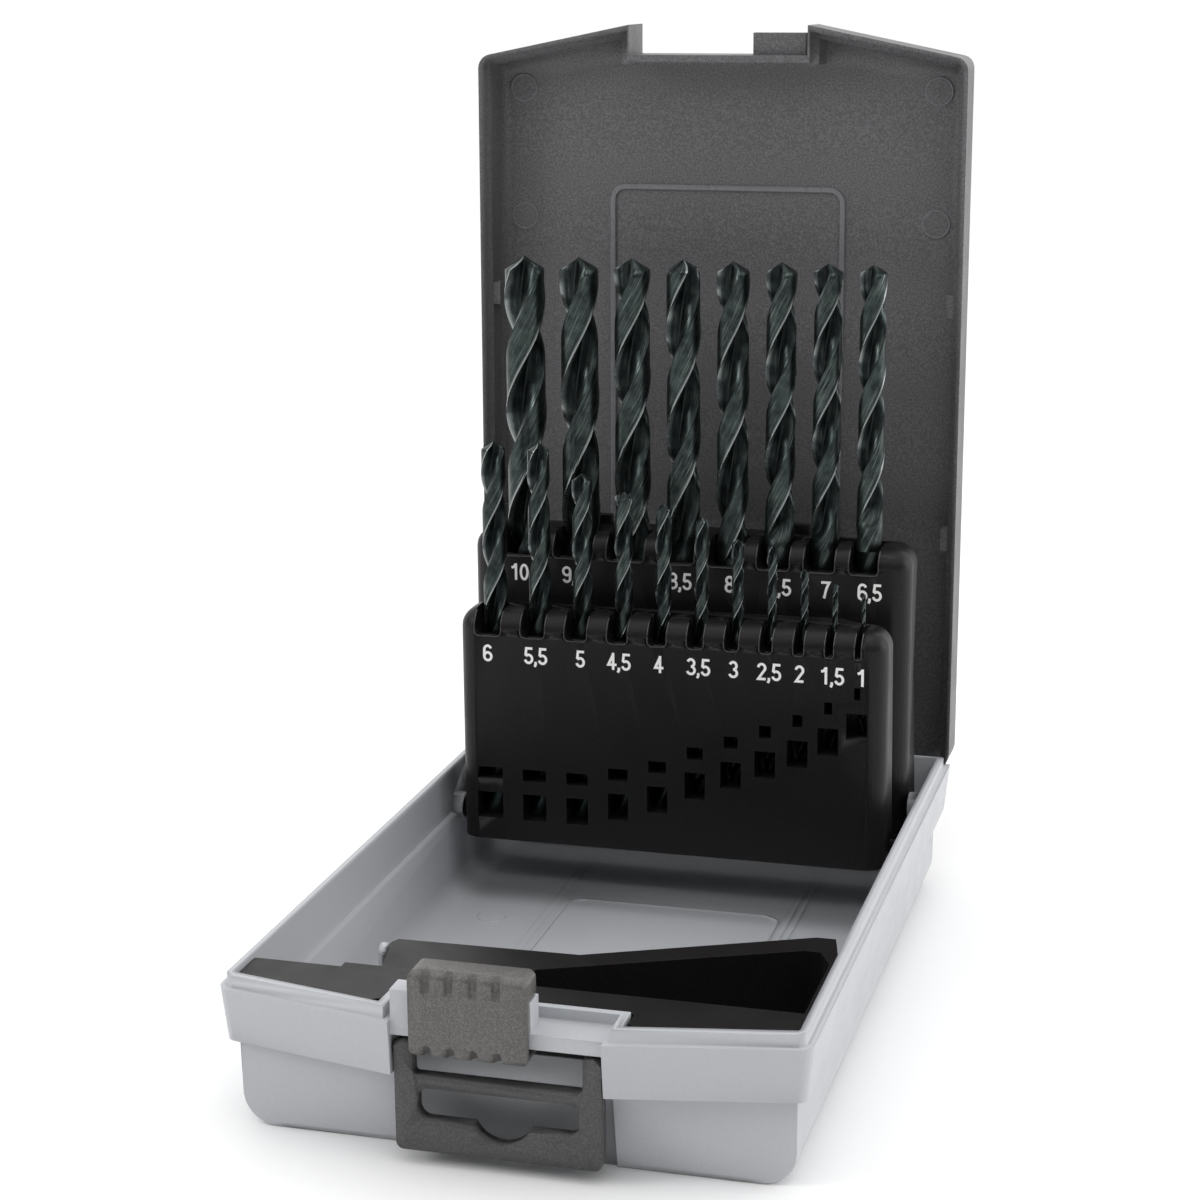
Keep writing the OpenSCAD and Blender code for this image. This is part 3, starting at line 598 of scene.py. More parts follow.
@dataclass
class Holder(Moulding):
    """A drill holder, whose upper corners are blended to a ball.

    Attributes:
        sizes: the holder's sizes.
        corner_mm: radius of its corners.
        cuts: planes laid through each corner, along each axis.
        flat_normal: a face whose normal lies this near an axis is flat, and isn't cut.
        near_mm: a face is cut if it comes this near the corner.
        slack: how far outside the corner a point may lie and still move, in metres.
    """

    sizes: HolderSizes = FRONT
    corner_mm: float = 5.0
    cuts: int = 7
    flat_normal: float = 0.9999
    near_mm: float = 0.1
    slack: float = 1e-7

    def shape(self, work: bmesh.types.BMesh) -> None:
        """Blends the four upper corners.

        Args:
            work: the holder's mesh.
        """
        r = self.corner_mm
        holder = self.sizes
        for side in (-1, 1):
            for y, way in ((holder.face_mm + r, -1), (holder.face_mm + holder.thick_mm - r, 1)):
                centre = Vector((side * (holder.half_mm - r), y, holder.top_mm - r)) * MM
                self.blend(work, centre, Vector((side, way, 1)))

    def blend(self, work: bmesh.types.BMesh, centre: Vector, out: Vector) -> None:
        """Cuts one corner's faces finely and moves its points onto a ball.

        Args:
            work: the holder's mesh.
            centre: the ball's centre.
            out: the corner's direction, as a sign for each axis.
        """
        r = self.corner_mm * MM

        def inside(point: Vector, slack: float) -> bool:
            """Tells whether a point lies in the corner, or nearer to it than the slack."""
            return all((point[k] - centre[k]) * out[k] > -slack for k in range(3))

        for axis in range(3):
            normal = Vector([float(k == axis) for k in range(3)])
            for step in range(self.cuts):
                spot = centre + normal * out[axis] * r * math.sin(math.pi / 2 * step / self.cuts)
                faces = [f for f in work.faces if max(map(abs, f.normal)) < self.flat_normal
                         and any(inside(v.co, self.near_mm * MM) for v in f.verts)]
                cut = set(faces) | {e for f in faces for e in f.edges} | {v for f in faces for v in f.verts}
                bmesh.ops.bisect_plane(work, geom=list(cut), dist=MERGE_DISTANCE, plane_co=spot,
                                       plane_no=normal)
        for vert in work.verts:
            away = vert.co - centre
            if inside(vert.co, self.slack) and away.length > r:
                vert.co = centre + away * (r / away.length)


# ---------------------------------------------------------------- drills


@dataclass
class DrillTree:
    """The Geometry Nodes tree that grinds a twist drill from a sheet of points.

    Attributes:
        around: points round the drill.
        rows: rows of points along the drill.
        shank_share: share of the rows on the plain shank.
        point_share: share of the rows on the point.
        section: half a turn of the section, from the web at 0 to the full radius at 1.
        land_end: where in the half turn the land ends and the flute starts.
        margin_from: where in the half turn the margin starts.
        margin_over: how far the margin's mark runs over the land's end.
        heel_relief: how far the point falls from its lip to its heel, as a share of the radius.
        chamfer: bevel of the shank's end, as a share of the radius.
        run_squeeze: how much shorter the grinding marks' pattern is along the drill than round it.
    """

    around: int = 72
    rows: int = 132
    shank_share: float = 0.06
    point_share: float = 0.12
    section: tuple[tuple[float, float], ...] = (
        (0.0, 0.94), (0.415, 0.945), (0.43, 1.0), (0.47, 1.0), (0.5, 0.5), (0.56, 0.18),
        (0.66, 0.0), (0.76, 0.07), (0.86, 0.28), (0.94, 0.66), (1.0, 0.94))
    land_end: float = 0.47
    margin_from: float = 0.425
    margin_over: float = 0.03
    heel_relief: float = 0.14
    chamfer: float = 0.1
    run_squeeze: float = 0.05

    def heights(self) -> list[tuple]:
        """Returns the sums for Z of each row of points, and for the turn in the section.

        Returns:
            Each sum as its name, its operation or way of mapping, and its values or their names.
        """
        point_from = 1 - self.point_share
        return [
            ("row", "MULTIPLY", "v", self.rows - 1.0), ("radius", "MULTIPLY", "Diameter", 0.5),
            ("chamfer", "MULTIPLY", "radius", self.chamfer), ("point", "DIVIDE", "radius", "Cone"),
            ("shank", "SUBTRACT", "Length", "Flutes"), ("plain", "SUBTRACT", "shank", "chamfer"),
            ("wound_length", "SUBTRACT", "Flutes", "point"),
            ("on_chamfer", "LINEAR", "row", 1.0, 2.0, 0.0, 1.0),
            ("z_chamfer", "MULTIPLY", "chamfer", "on_chamfer"),
            ("z_shank", "LINEAR", "v", 2.0 / (self.rows - 1), self.shank_share, 0.0, "plain"),
            ("z_flutes", "LINEAR", "v", self.shank_share, point_from, 0.0, "wound_length"),
            ("z_point", "LINEAR", "v", point_from, 1.0, 0.0, "point"),
            ("z_low", "ADD", "z_chamfer", "z_shank"), ("z_high", "ADD", "z_flutes", "z_point"),
            ("z", "ADD", "z_low", "z_high"),
            ("half_turns", "MULTIPLY", "u", 2.0), ("turn", "FRACT", "half_turns"),
        ]

    def distances(self) -> list[tuple]:
        """Returns the sums for each point's place and marks, from the section's curve on.

        Returns:
            Each sum as its name, its operation or way of mapping, and its values or their names.
        """
        return [
            # The section: the web, and what stands over it, from where the flutes have run out of the shank.
            ("not_web", "SUBTRACT", 1.0, "Web"), ("over_web", "MULTIPLY", "curve", "not_web"),
            ("section", "ADD", "Web", "over_web"), ("deep_from", "ADD", "shank", "Diameter"),
            ("run_out", "SMOOTHSTEP", "z", "shank", "deep_from", 0.0, 1.0),
            ("full_cut", "SUBTRACT", 1.0, "section"), ("cut", "MULTIPLY", "run_out", "full_cut"),
            ("fluted", "SUBTRACT", 1.0, "cut"),
            # The shank's end: closed at the first row, bevelled at the second, full at the third.
            ("end", "LINEAR", "row", 0.0, 2.0, 0.0, 1.0),
            ("end_wide", "MULTIPLY", "end", 2 * (1 - self.chamfer)),
            ("end_reach", "MINIMUM", "end_wide", 1.0), ("wound_reach", "MULTIPLY", "radius", "fluted"),
            ("barrel", "MULTIPLY", "wound_reach", "end_reach"),
            # The point: a cone that falls away behind each lip.
            ("heel_share", "LINEAR", "turn", 0.0, self.land_end, self.heel_relief, 0.0),
            ("heel", "MULTIPLY", "radius", "heel_share"), ("to_tip", "SUBTRACT", "Length", "z"),
            ("to_heel", "SUBTRACT", "to_tip", "heel"), ("below_tip", "MAXIMUM", "to_heel", 0.0),
            ("cone", "MULTIPLY", "below_tip", "Cone"), ("reach", "MINIMUM", "barrel", "cone"),
            # The helix.
            ("over_shank", "SUBTRACT", "z", "shank"), ("twist", "DIVIDE", "over_shank", "Lead"),
            ("turned", "ADD", "u", "twist"), ("phased", "ADD", "turned", "Phase"),
            ("angle", "MULTIPLY", "phased", math.tau), ("cos", "COSINE", "angle"), ("sin", "SINE", "angle"),
            ("x", "MULTIPLY", "reach", "cos"), ("y", "MULTIPLY", "reach", "sin"),
            # Marks for the steel: the margins, the flutes' depth, and places that run along the flutes.
            ("past_land", "GREATER_THAN", "turn", self.margin_from),
            ("before_flute", "LESS_THAN", "turn", self.land_end + self.margin_over),
            ("on_margin", "MULTIPLY", "past_land", "before_flute"),
            ("margin", "MULTIPLY", "on_margin", "run_out"),
            ("open", "SUBTRACT", 1.0, "curve"), ("hollow", "MULTIPLY", "open", "run_out"),
            ("wound", "MULTIPLY", "u", math.tau),
            ("run_cos", "COSINE", "wound"), ("run_sin", "SINE", "wound"),
            ("run_x", "MULTIPLY", "radius", "run_cos"), ("run_y", "MULTIPLY", "radius", "run_sin"),
            ("run_z", "MULTIPLY", "z", self.run_squeeze),
        ]

    def work_out(self, tree: bpy.types.NodeTree, at: dict[str, bpy.types.NodeSocket],
                 sums: list[tuple]) -> None:
        """Adds the nodes of a list of sums, and keeps each result under its name.

        Args:
            tree: the tree.
            at: the results so far, by name.
            sums: each sum as its name, its operation or way of mapping, and its values or their names.
        """
        for name, step, *values in sums:
            mapped = step in ("LINEAR", "SMOOTHSTEP")
            kind = "ShaderNodeMapRange" if mapped else "ShaderNodeMath"
            setting = {"interpolation_type" if mapped else "operation": step}
            inputs = {k: at.get(v, v) for k, v in enumerate(values)}
            at[name] = add_node(tree, kind, inputs, **setting).outputs[0]

    def build(self) -> bpy.types.NodeTree:
        """Builds the tree with its named sizes.

        Returns:
            The tree.
        """
        tree = start_tree("twist_drill", ("Diameter", "Length", "Flutes", "Lead", "Web", "Cone", "Phase"),
                          ("Place",))
        at = dict(add_node(tree, "NodeGroupInput").outputs.items())
        sheet = add_node(tree, "GeometryNodeMeshGrid", {"Vertices X": self.around + 1,
                                                        "Vertices Y": self.rows})
        uv = add_node(tree, "ShaderNodeSeparateXYZ", {"Vector": sheet.outputs["UV Map"]}).outputs
        at.update(u=uv["X"], v=uv["Y"])
        self.work_out(tree, at, self.heights())
        curve = add_node(tree, "ShaderNodeFloatCurve", {"Value": at["turn"]})
        self.shape_curve(curve)
        at["curve"] = curve.outputs["Value"]
        self.work_out(tree, at, self.distances())

        place = add_node(tree, "ShaderNodeCombineXYZ", {"X": at["x"], "Y": at["y"], "Z": at["z"]})
        place = add_node(tree, "ShaderNodeVectorMath", {0: place.outputs["Vector"], 1: at["Place"]},
                         operation="ADD")
        run = add_node(tree, "ShaderNodeCombineXYZ", {"X": at["run_x"], "Y": at["run_y"], "Z": at["run_z"]})
        shape = sheet.outputs["Mesh"]
        for name, value, kind in ((MARGIN, at["margin"], "FLOAT"), (DEPTH, at["hollow"], "FLOAT"),
                                  (FLUTE_RUN, run.outputs["Vector"], "FLOAT_VECTOR")):
            shape = add_node(tree, "GeometryNodeStoreNamedAttribute",
                             {"Geometry": shape, "Name": name, "Value": value}, data_type=kind,
                             domain="POINT").outputs[0]
        ground = add_node(tree, "GeometryNodeSetPosition", {"Geometry": shape, "Position": place.outputs[0]})
        closed = add_node(tree, "GeometryNodeMergeByDistance", {"Geometry": ground.outputs[0],
                                                                "Distance": 0.5 * MERGE_DISTANCE})
        end_tree(tree, closed.outputs[0], at["Finish"])
        return tree

    def shape_curve(self, node: bpy.types.Node) -> None:
        """Puts the section's points on a float curve.

        Args:
            node: the curve's node.
        """
        line = node.mapping.curves[0]
        for k, (x, y) in enumerate(self.section):
            if k in (0, len(self.section) - 1):
                line.points[0 if k == 0 else -1].location = (x, y)
            else:
                line.points.new(x, y)
        for p in line.points:
            p.handle_type = "AUTO_CLAMPED"
        node.mapping.update()


@dataclass
class TwistDrill:
    """One jobber drill in its bore.

    Attributes:
        size_mm: its diameter.
        flute_mm: length of its flutes, with the point.
        phase: the turn of its flutes, in full turns.
        lead_per_d: rise of a flute in a full turn, in diameters.
        web_share: thickness of the web between the flutes, as a share of the diameter.
        point_half_deg: half the angle of the point.
        crease_deg: edges that turn more than this are shaded as creases.
    """

    size_mm: float
    flute_mm: float
    phase: float
    lead_per_d: float
    web_share: float = 0.24
    point_half_deg: float = 59.0
    crease_deg: float = 42.0

    def dress(self, tree: bpy.types.NodeTree) -> bpy.types.Object:
        """Grinds the drill where its solid stands and puts it in the solid's place.

        Args:
            tree: the drill's Geometry Nodes tree.

        Returns:
            The finished piece.
        """
        node = drill_node(self.size_mm)
        low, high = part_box(node)
        middle = (low + high) / 2
        sizes = {"Diameter": self.size_mm * MM, "Length": high.z - low.z, "Flutes": self.flute_mm * MM,
                 "Lead": self.lead_per_d * self.size_mm * MM, "Web": self.web_share,
                 "Cone": math.tan(math.radians(self.point_half_deg)), "Phase": self.phase,
                 "Place": (middle.x, middle.y, low.z), "Finish": Finish.STEEL.material()}
        mesh = run_tree(tree, sizes, bpy.data.meshes.new("blank"))
        turn_outwards(mesh, 0.5 * MERGE_DISTANCE, 0.2 * MERGE_DISTANCE)
        mesh.set_sharp_from_angle(angle=math.radians(self.crease_deg))
        piece = new_object(f"{node}_ground", mesh)
        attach(piece, node)
        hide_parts(node)
        LOG.info("%s: %d faces", piece.name, len(mesh.polygons))
        return piece


@dataclass
class DrillSet:
    """All the drills, from 10 mm down to 1 mm.

    Attributes:
        flutes_mm: length of each drill's flutes.
        seen: lead in diameters and phase of each rear drill, as the reference picture shows them.
        lead_per_d: lead of the front drills.
        phase_step: how far each front drill is turned from the one before, in full turns.
    """

    flutes_mm: tuple[float, ...] = (87, 81, 81, 75, 75, 69, 69, 63,
                                    57, 57, 52, 47, 43, 39, 33, 30, 24, 18, 12)
    seen: tuple[tuple[float, float], ...] = (
        (5.61, 0.45), (6.01, 0.494), (5.7, 0.289), (6.05, 0.183), (6.35, 0.428), (5.97, 0.34), (5.88, 0.184),
        (6.36, 0.353))
    lead_per_d: float = 6.0
    phase_step: float = 0.37

    def dress(self) -> list[bpy.types.Object]:
        """Grinds every drill, each turned its own way in its bore.

        Returns:
            The finished drills.
        """
        tree = DrillTree().build()
        pieces = []
        for k, (size_mm, flute_mm) in enumerate(zip(REAR.drills_mm + FRONT.drills_mm, self.flutes_mm)):
            lead, phase = self.seen[k] if k < len(self.seen) else (self.lead_per_d, self.phase_step * k % 1)
            pieces.append(TwistDrill(size_mm, flute_mm, phase, lead).dress(tree))
        bpy.data.node_groups.remove(tree)
        LOG.info("drills: %d", len(pieces))
        return pieces


# ---------------------------------------------------------------- beads


@dataclass
class BeadTree:
    """The Geometry Nodes tree that lays a rounded bead along lines of points.

    Attributes:
        round_points: points on each rounded corner of the bead's section.
    """

    round_points: int = 4

    def build(self) -> bpy.types.NodeTree:
        """Builds the tree with its named sizes.

        Returns:
            The tree.
        """
        tree = start_tree("bead", ("Width", "Height", "Round"))
        size = add_node(tree, "NodeGroupInput").outputs
        line = add_node(tree, "GeometryNodeMeshToCurve", {"Mesh": size["Geometry"]})
        upright = add_node(tree, "GeometryNodeSetCurveNormal", {"Curve": line.outputs[0]}, mode="Z_UP")
        block = add_node(tree, "GeometryNodeCurvePrimitiveQuadrilateral",
                         {"Width": size["Width"], "Height": size["Height"]})
        section = add_node(tree, "GeometryNodeFilletCurve",
                           {"Curve": block.outputs[0], "Radius": size["Round"], "Limit Radius": True,
                            "Count": self.round_points}, mode="POLY")
        bead = add_node(tree, "GeometryNodeCurveToMesh", {"Curve": upright.outputs[0], "Fill Caps": True,
                                                          "Profile Curve": section.outputs[0]})
        end_tree(tree, bead.outputs[0], size["Finish"])
        return tree


@dataclass
class Bead:
    """Beads of one section on one body.

    Attributes:
        name: the piece's name.
        body: the body that it moves with.
        finish: what it is made of.
        width_mm: its width, across the line and along the surface.
        height_mm: its height.
        round_mm: radius of its section's corners.
    """

    name: str
    body: str
    finish: Finish
    width_mm: float
    height_mm: float
    round_mm: float

    def dress(self, tree: bpy.types.NodeTree, lines: list[list[Vector]], closed: bool,
              turn: Matrix = Matrix()) -> bpy.types.Object:
        """Lays the beads.

        Args:
            tree: the beads' Geometry Nodes tree.
            lines: the points of each line, in metres.
            closed: whether each line runs back to its start.
            turn: takes the finished beads to their place.

        Returns:
            The finished piece.
        """
        mesh = bpy.data.meshes.new("lines")
        points, edges = [], []
        for line in lines:
            first = len(points)
            points += line
            edges += [(first + k, first + k + 1) for k in range(len(line) - 1)]
            if closed:
                edges.append((len(points) - 1, first))
        mesh.from_pydata(points, edges, [])
        sizes = {"Width": self.width_mm * MM, "Height": self.height_mm * MM, "Round": self.round_mm * MM,
                 "Finish": self.finish.material()}
        result = run_tree(tree, sizes, mesh)
        result.transform(turn)
        turn_outwards(result, 0.1 * MERGE_DISTANCE)
        piece = new_object(self.name, result)
        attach(piece, self.body)
        LOG.info("%s: %d lines", self.name, len(lines))
        return piece


@dataclass
class LidRelief:
    """The panel line and the ejector marks inside the lid, laid out closed and swung open.

    Attributes:
        open_deg: how far the lid stands open.
        hinge_mm: Y and Z of its hinge.
        ceiling_mm: Z of the closed lid's inner face.
        panel_mm: half the panel's width, Y of its front and back, and radius of its corners.
        line_w_mm: width of the panel line.
        line_h_mm: height of the panel line.
        line_round_mm: radius of the line's edges.
        marks_mm: X and Y of the ejector marks.
        mark_d_mm: their diameter.
        mark_h_mm: their height.
        ring_w_mm: width of the ring round each mark.
        ring_round_mm: radius of the ring's edges.
        ring_in_mm: how far the ring's middle lies inside the mark's edge.
        ring_points: points on each ring.
        core_mm: height of a bead, without what stands proud of the relief.
        proud_mm: how far a bead stands proud.
    """

    open_deg: float = 91.0
    hinge_mm: tuple[float, float] = (86.0, 29.5)
    ceiling_mm: float = 42.2
    panel_mm: tuple[float, float, float, float] = (30.0, -58.5, 30.0, 4.0)
    line_w_mm: float = 1.3
    line_h_mm: float = 0.5
    line_round_mm: float = 0.24
    marks_mm: tuple[tuple[float, float], ...] = ((-52.6, -82), (52.6, -82), (-52.6, -50), (52.6, -50))
    mark_d_mm: float = 7.0
    mark_h_mm: float = 0.25
    ring_w_mm: float = 0.5
    ring_round_mm: float = 0.2
    ring_in_mm: float = 0.2
    ring_points: int = 40
    core_mm: float = 0.5
    proud_mm: float = 0.05

    def panel_line(self) -> list[Vector]:
        """Lays the middle of the panel line.

        Returns:
            Its points, in metres, with the lid closed.
        """
        half, low, high, r = self.panel_mm
        inset = self.line_w_mm / 2
        half, low, high, r = half - inset, low + inset, high - inset, r - inset
        corners = ((half - r, low + r, -90), (half - r, high - r, 0), (r - half, high - r, 90),
                   (r - half, low + r, 180))
        return [self.sunk(x, y, self.line_h_mm) for cx, cy, start in corners
                for x, y in bow(cx, cy, r, r, start, start + 90)]

    def ring(self, cx: float, cy: float) -> list[Vector]:
        """Lays the ring of one ejector mark.

        Args:
            cx: X of its middle.
            cy: Y of its middle.

        Returns:
            Its points, in metres, with the lid closed.
        """
        r = self.mark_d_mm / 2 - self.ring_in_mm
        return [self.sunk(cx + r * math.cos(a), cy + r * math.sin(a), self.mark_h_mm)
                for a in (math.tau * k / self.ring_points for k in range(self.ring_points))]

    def sunk(self, x: float, y: float, high_mm: float) -> Vector:
        """Returns a bead's middle in metres, sunk so that it stands only a little proud of the relief."""
        return Vector((x, y, self.ceiling_mm - high_mm)) * MM + Vector((0, 0, self.core_mm / 2 * MM))

    def dress(self, tree: bpy.types.NodeTree) -> None:
        """Lays the line and the rings round the marks.

        Args:
            tree: the beads' Geometry Nodes tree.
        """
        hinge = Vector((0, *self.hinge_mm)) * MM
        swing = (Matrix.Translation(hinge) @ Matrix.Rotation(math.radians(-self.open_deg), 4, "X")
                 @ Matrix.Translation(-hinge))
        high = 2 * self.proud_mm + self.core_mm
        # The line and the rings are lighter than the lid: a painted highlight on their tops.
        Bead("lid_panel_line", "lid", Finish.ANTHRACITE_PAINTED_HIGHLIGHT, self.line_w_mm + 2 * self.proud_mm, high,
             self.line_round_mm).dress(tree, [self.panel_line()], True, swing)
        rings = [self.ring(x, y) for x, y in self.marks_mm]
        Bead("lid_ejector_marks", "lid", Finish.ANTHRACITE_PAINTED_HIGHLIGHT, self.ring_w_mm, high,
             self.ring_round_mm).dress(tree, rings, True, swing)


@dataclass
class SlotRims:
    """The rounded rims of one holder's drill slots.

    Attributes:
        sizes: the holder's sizes.
        round_mm: radius of the holder's upper front edge.
        deep_mm: depth of a slot below the holder's top.
        start_mm: how far below the top a rim starts.
        wider_mm: how much wider a slot is than its drill.
        corner_mm: greatest radius of a slot's lower corners.
        corner_share: greatest radius of those corners, as a share of half the slot's width.
        corner_steps: steps round each corner.
        side_points: points on each side.
        bead_mm: thickness of the rim.
    """

    sizes: HolderSizes
    round_mm: float = 5.0
    deep_mm: float = 6.3
    start_mm: float = 0.6
    wider_mm: float = 0.7
    corner_mm: float = 1.2
    corner_share: float = 0.7
    corner_steps: int = 6
    side_points: int = 10
    bead_mm: float = 0.36

    def line(self, size_mm: float) -> list[Vector]:
        """Lays the rim of one slot: down its left side, round its foot and up its right side.

        Args:
            size_mm: the drill's diameter.

        Returns:
            The rim's points, in metres.
        """
        half = (size_mm + self.wider_mm) / 2
        r = min(self.corner_mm, self.corner_share * half)
        top = self.sizes.top_mm
        low = top - self.deep_mm
        straight = self.deep_mm - self.start_mm - r
        outline = [(-half, top - self.start_mm - straight * k / self.side_points)
                   for k in range(self.side_points)]
        outline += [(-half + r - r * math.cos(a), low + r - r * math.sin(a))
                    for a in (math.radians(90 * k / self.corner_steps) for k in range(self.corner_steps + 1))]
        outline += [(-x, z) for x, z in reversed(outline)]
        middle = drill_middle(size_mm) / MM
        return [Vector((middle + x, self.surface(z), z)) * MM for x, z in outline]

    def surface(self, z: float) -> float:
        """Returns Y of the holder's front at a height, with its rounded upper edge."""
        over = max(0.0, z - (self.sizes.top_mm - self.round_mm))
        return self.sizes.face_mm + self.round_mm - math.sqrt(self.round_mm ** 2 - over ** 2)

    def dress(self, tree: bpy.types.NodeTree) -> None:
        """Lays the rims of all the slots.

        Args:
            tree: the beads' Geometry Nodes tree.
        """
        body = self.sizes.node
        lines = [self.line(size_mm) for size_mm in self.sizes.drills_mm]
        # The rims are lighter grey than the holder: a painted highlight along the slots' edges.
        Bead(f"{body}_slot_rims", body, Finish.BLACK_PAINTED_HIGHLIGHT, self.bead_mm, self.bead_mm,
             self.bead_mm / 2).dress(tree, lines, False)


# ---------------------------------------------------------------- numerals


@dataclass(frozen=True)
class NumeralStrokes:
    """Plain grotesque numerals as centre lines, each one unit tall with its foot on the line.

    Attributes:
        weight: width of a stroke.
        digit_step: width of a numeral, with its spacing.
        comma_step: width of the comma, with its spacing.
        mitre_least: the least cosine at a corner, so that a sharp corner's mitre stays short.
    """

    weight: float = 0.148
    digit_step: float = 0.585
    comma_step: float = 0.25
    mitre_least: float = 0.45

    def paths(self, sign: str) -> list[Path]:
        """Draws one numeral or the comma.

        Args:
            sign: the numeral or the comma.

        Returns:
            The centre line of each of its strokes.
        """
        six = [bow(0.29, 0.69, 0.205, 0.24, 22, 165) + [(0.078, 0.45), (0.078, 0.3)],
               bow(0.29, 0.30, 0.212, 0.232, 0, 360)]
        shapes = {
            "0": [bow(0.29, 0.5, 0.205, 0.43, 0, 360)],
            "1": [[(0.37, 0.0), (0.37, 1.0)], [(0.10, 0.735), (0.24, 0.78), (0.36, 0.95)]],
            "2": [bow(0.285, 0.705, 0.2, 0.225, 172, -28) + [(0.30, 0.37), (0.10, 0.07), (0.52, 0.07)]],
            "3": [bow(0.28, 0.72, 0.19, 0.21, 160, -90), bow(0.28, 0.29, 0.215, 0.22, 90, -165)],
            "4": [[(0.37, 0.0), (0.37, 1.0)], [(0.38, 0.93), (0.09, 0.3), (0.57, 0.3)]],
            "5": [[(0.52, 0.93), (0.16, 0.93), (0.11, 0.5)], bow(0.285, 0.31, 0.212, 0.24, 140, -165)],
            "6": six,
            "7": [[(0.05, 0.93), (0.51, 0.93), (0.36, 0.6), (0.22, 0.0)]],
            "8": [bow(0.29, 0.725, 0.185, 0.205, 0, 360), bow(0.29, 0.292, 0.215, 0.222, 0, 360)],
            "9": [[(0.58 - x, 1 - y) for x, y in path] for path in six],
            ",": [[(0.12, 0.15), (0.12, -0.02), (0.05, -0.14)]],
        }
        return shapes[sign]

    def width(self, label: str) -> float:
        """Returns a label's width."""
        return sum(self.comma_step if sign == "," else self.digit_step for sign in label)

    def ribbon(self, work: bmesh.types.BMesh, path: Path, place: Matrix, thick: float) -> None:
        """Widens a centre line to a closed flat bar, with mitred corners.

        Args:
            work: the mesh that gets the bar.
            path: the centre line, closed where its last point is its first.
            place: turns the line's units to the bar's place.
            thick: how far the bar stands out.
        """
        closed = math.dist(path[0], path[-1]) < 1e-6
        points = [Vector(p) for p in (path[:-1] if closed else path)]
        last = len(points) - 1
        rings = []
        for k, point in enumerate(points):
            before = (point - points[k - 1]).normalized() if closed or k else None
            after = (points[(k + 1) % len(points)] - point).normalized() if closed or k < last else before
            before = before or after
            along = (before + after).normalized()
            reach = self.weight / 2 / max(along.dot(before), self.mitre_least)
            side = Vector((-along.y, along.x)) * reach
            corners = [(point + side, 0), (point - side, 0), (point - side, thick), (point + side, thick)]
            rings.append([work.verts.new(place @ Vector((c.x, c.y, high))) for c, high in corners])
        for k in range(len(rings) if closed else len(rings) - 1):
            near, far = rings[k], rings[(k + 1) % len(rings)]
            for m in range(4):
                work.faces.new((near[m], near[(m + 1) % 4], far[(m + 1) % 4], far[m]))
        if not closed:
            work.faces.new(rings[0])
            work.faces.new(rings[-1])


@dataclass
class Numerals:
    """The diameters printed on one holder's front face, one under each slot.

    Attributes:
        sizes: the holder's sizes.
        tall_mm: the numerals' height.
        thick_mm: thickness of the ink.
        layer_mm: how much thicker each further stroke of a numeral is, so that no two faces coincide.
        strokes: the numerals' form.
    """

    sizes: HolderSizes
    tall_mm: float = 4.2
    thick_mm: float = 0.05
    layer_mm: float = 0.004
    strokes: NumeralStrokes = NumeralStrokes()

    def label(self, work: bmesh.types.BMesh, size_mm: float, place: Vector) -> None:
        """Prints one label with its middle at a place.

        Args:
            work: the mesh that gets the label.
            size_mm: the diameter that it says.
            place: the place, in metres.
        """
        text = f"{size_mm:g}".replace(".", ",")
        upright = Matrix.Rotation(math.pi / 2, 4, "X") @ Matrix.Scale(self.tall_mm * MM, 4)
        left = -self.strokes.width(text) / 2
        for sign in text:
            for k, path in enumerate(self.strokes.paths(sign)):
                spot = Matrix.Translation(place) @ upright @ Matrix.Translation((left, -0.5, 0))
                self.strokes.ribbon(work, path, spot, (self.thick_mm + self.layer_mm * k) / self.tall_mm)
            left += self.strokes.width(sign)

    def dress(self) -> bpy.types.Object:
        """Prints all the labels of the holder as one piece.

        Returns:
            The finished piece.
        """
        holder = self.sizes
        low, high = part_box(holder.node)
        z = high.z - holder.lugs_mm * MM - holder.label_drop_mm * MM
        work = bmesh.new()
        for size_mm, shift_mm in zip(holder.drills_mm, holder.label_shifts_mm):
            self.label(work, size_mm, Vector((drill_middle(size_mm) + shift_mm * MM, low.y, z)))
        bmesh.ops.recalc_face_normals(work, faces=work.faces)
        printed = bpy.data.meshes.new(f"{holder.node}_numerals")
        work.to_mesh(printed)
        work.free()
        printed.materials.append(Finish.INK.material())
        piece = new_object(f"{holder.node}_numerals", printed)
        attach(piece, holder.node)
        LOG.info("%s: %d labels", piece.name, len(holder.drills_mm))
        return piece


# ---------------------------------------------------------------- studio


@dataclass(frozen=True)
class SoftLamp:
    """A soft square lamp.

    Attributes:
        name: the lamp's name.
        place: where it hangs, in metres.
        aim: what it points at, in metres.
        side: its side, in metres.
        power: its power, in watts.
    """

    name: str
    place: tuple[float, float, float]
    aim: tuple[float, float, float]
    side: float
    power: float

    def hang(self) -> None:
        """Puts the lamp in the scene."""
        lamp = bpy.data.lights.new(self.name, "AREA")
        lamp.size = self.side
        lamp.energy = self.power
        stand = bpy.data.objects.new(self.name, lamp)
        stand.location = self.place
        stand.rotation_euler = (Vector(self.aim) - Vector(self.place)).to_track_quat("-Z", "Y").to_euler()
        bpy.context.scene.collection.objects.link(stand)


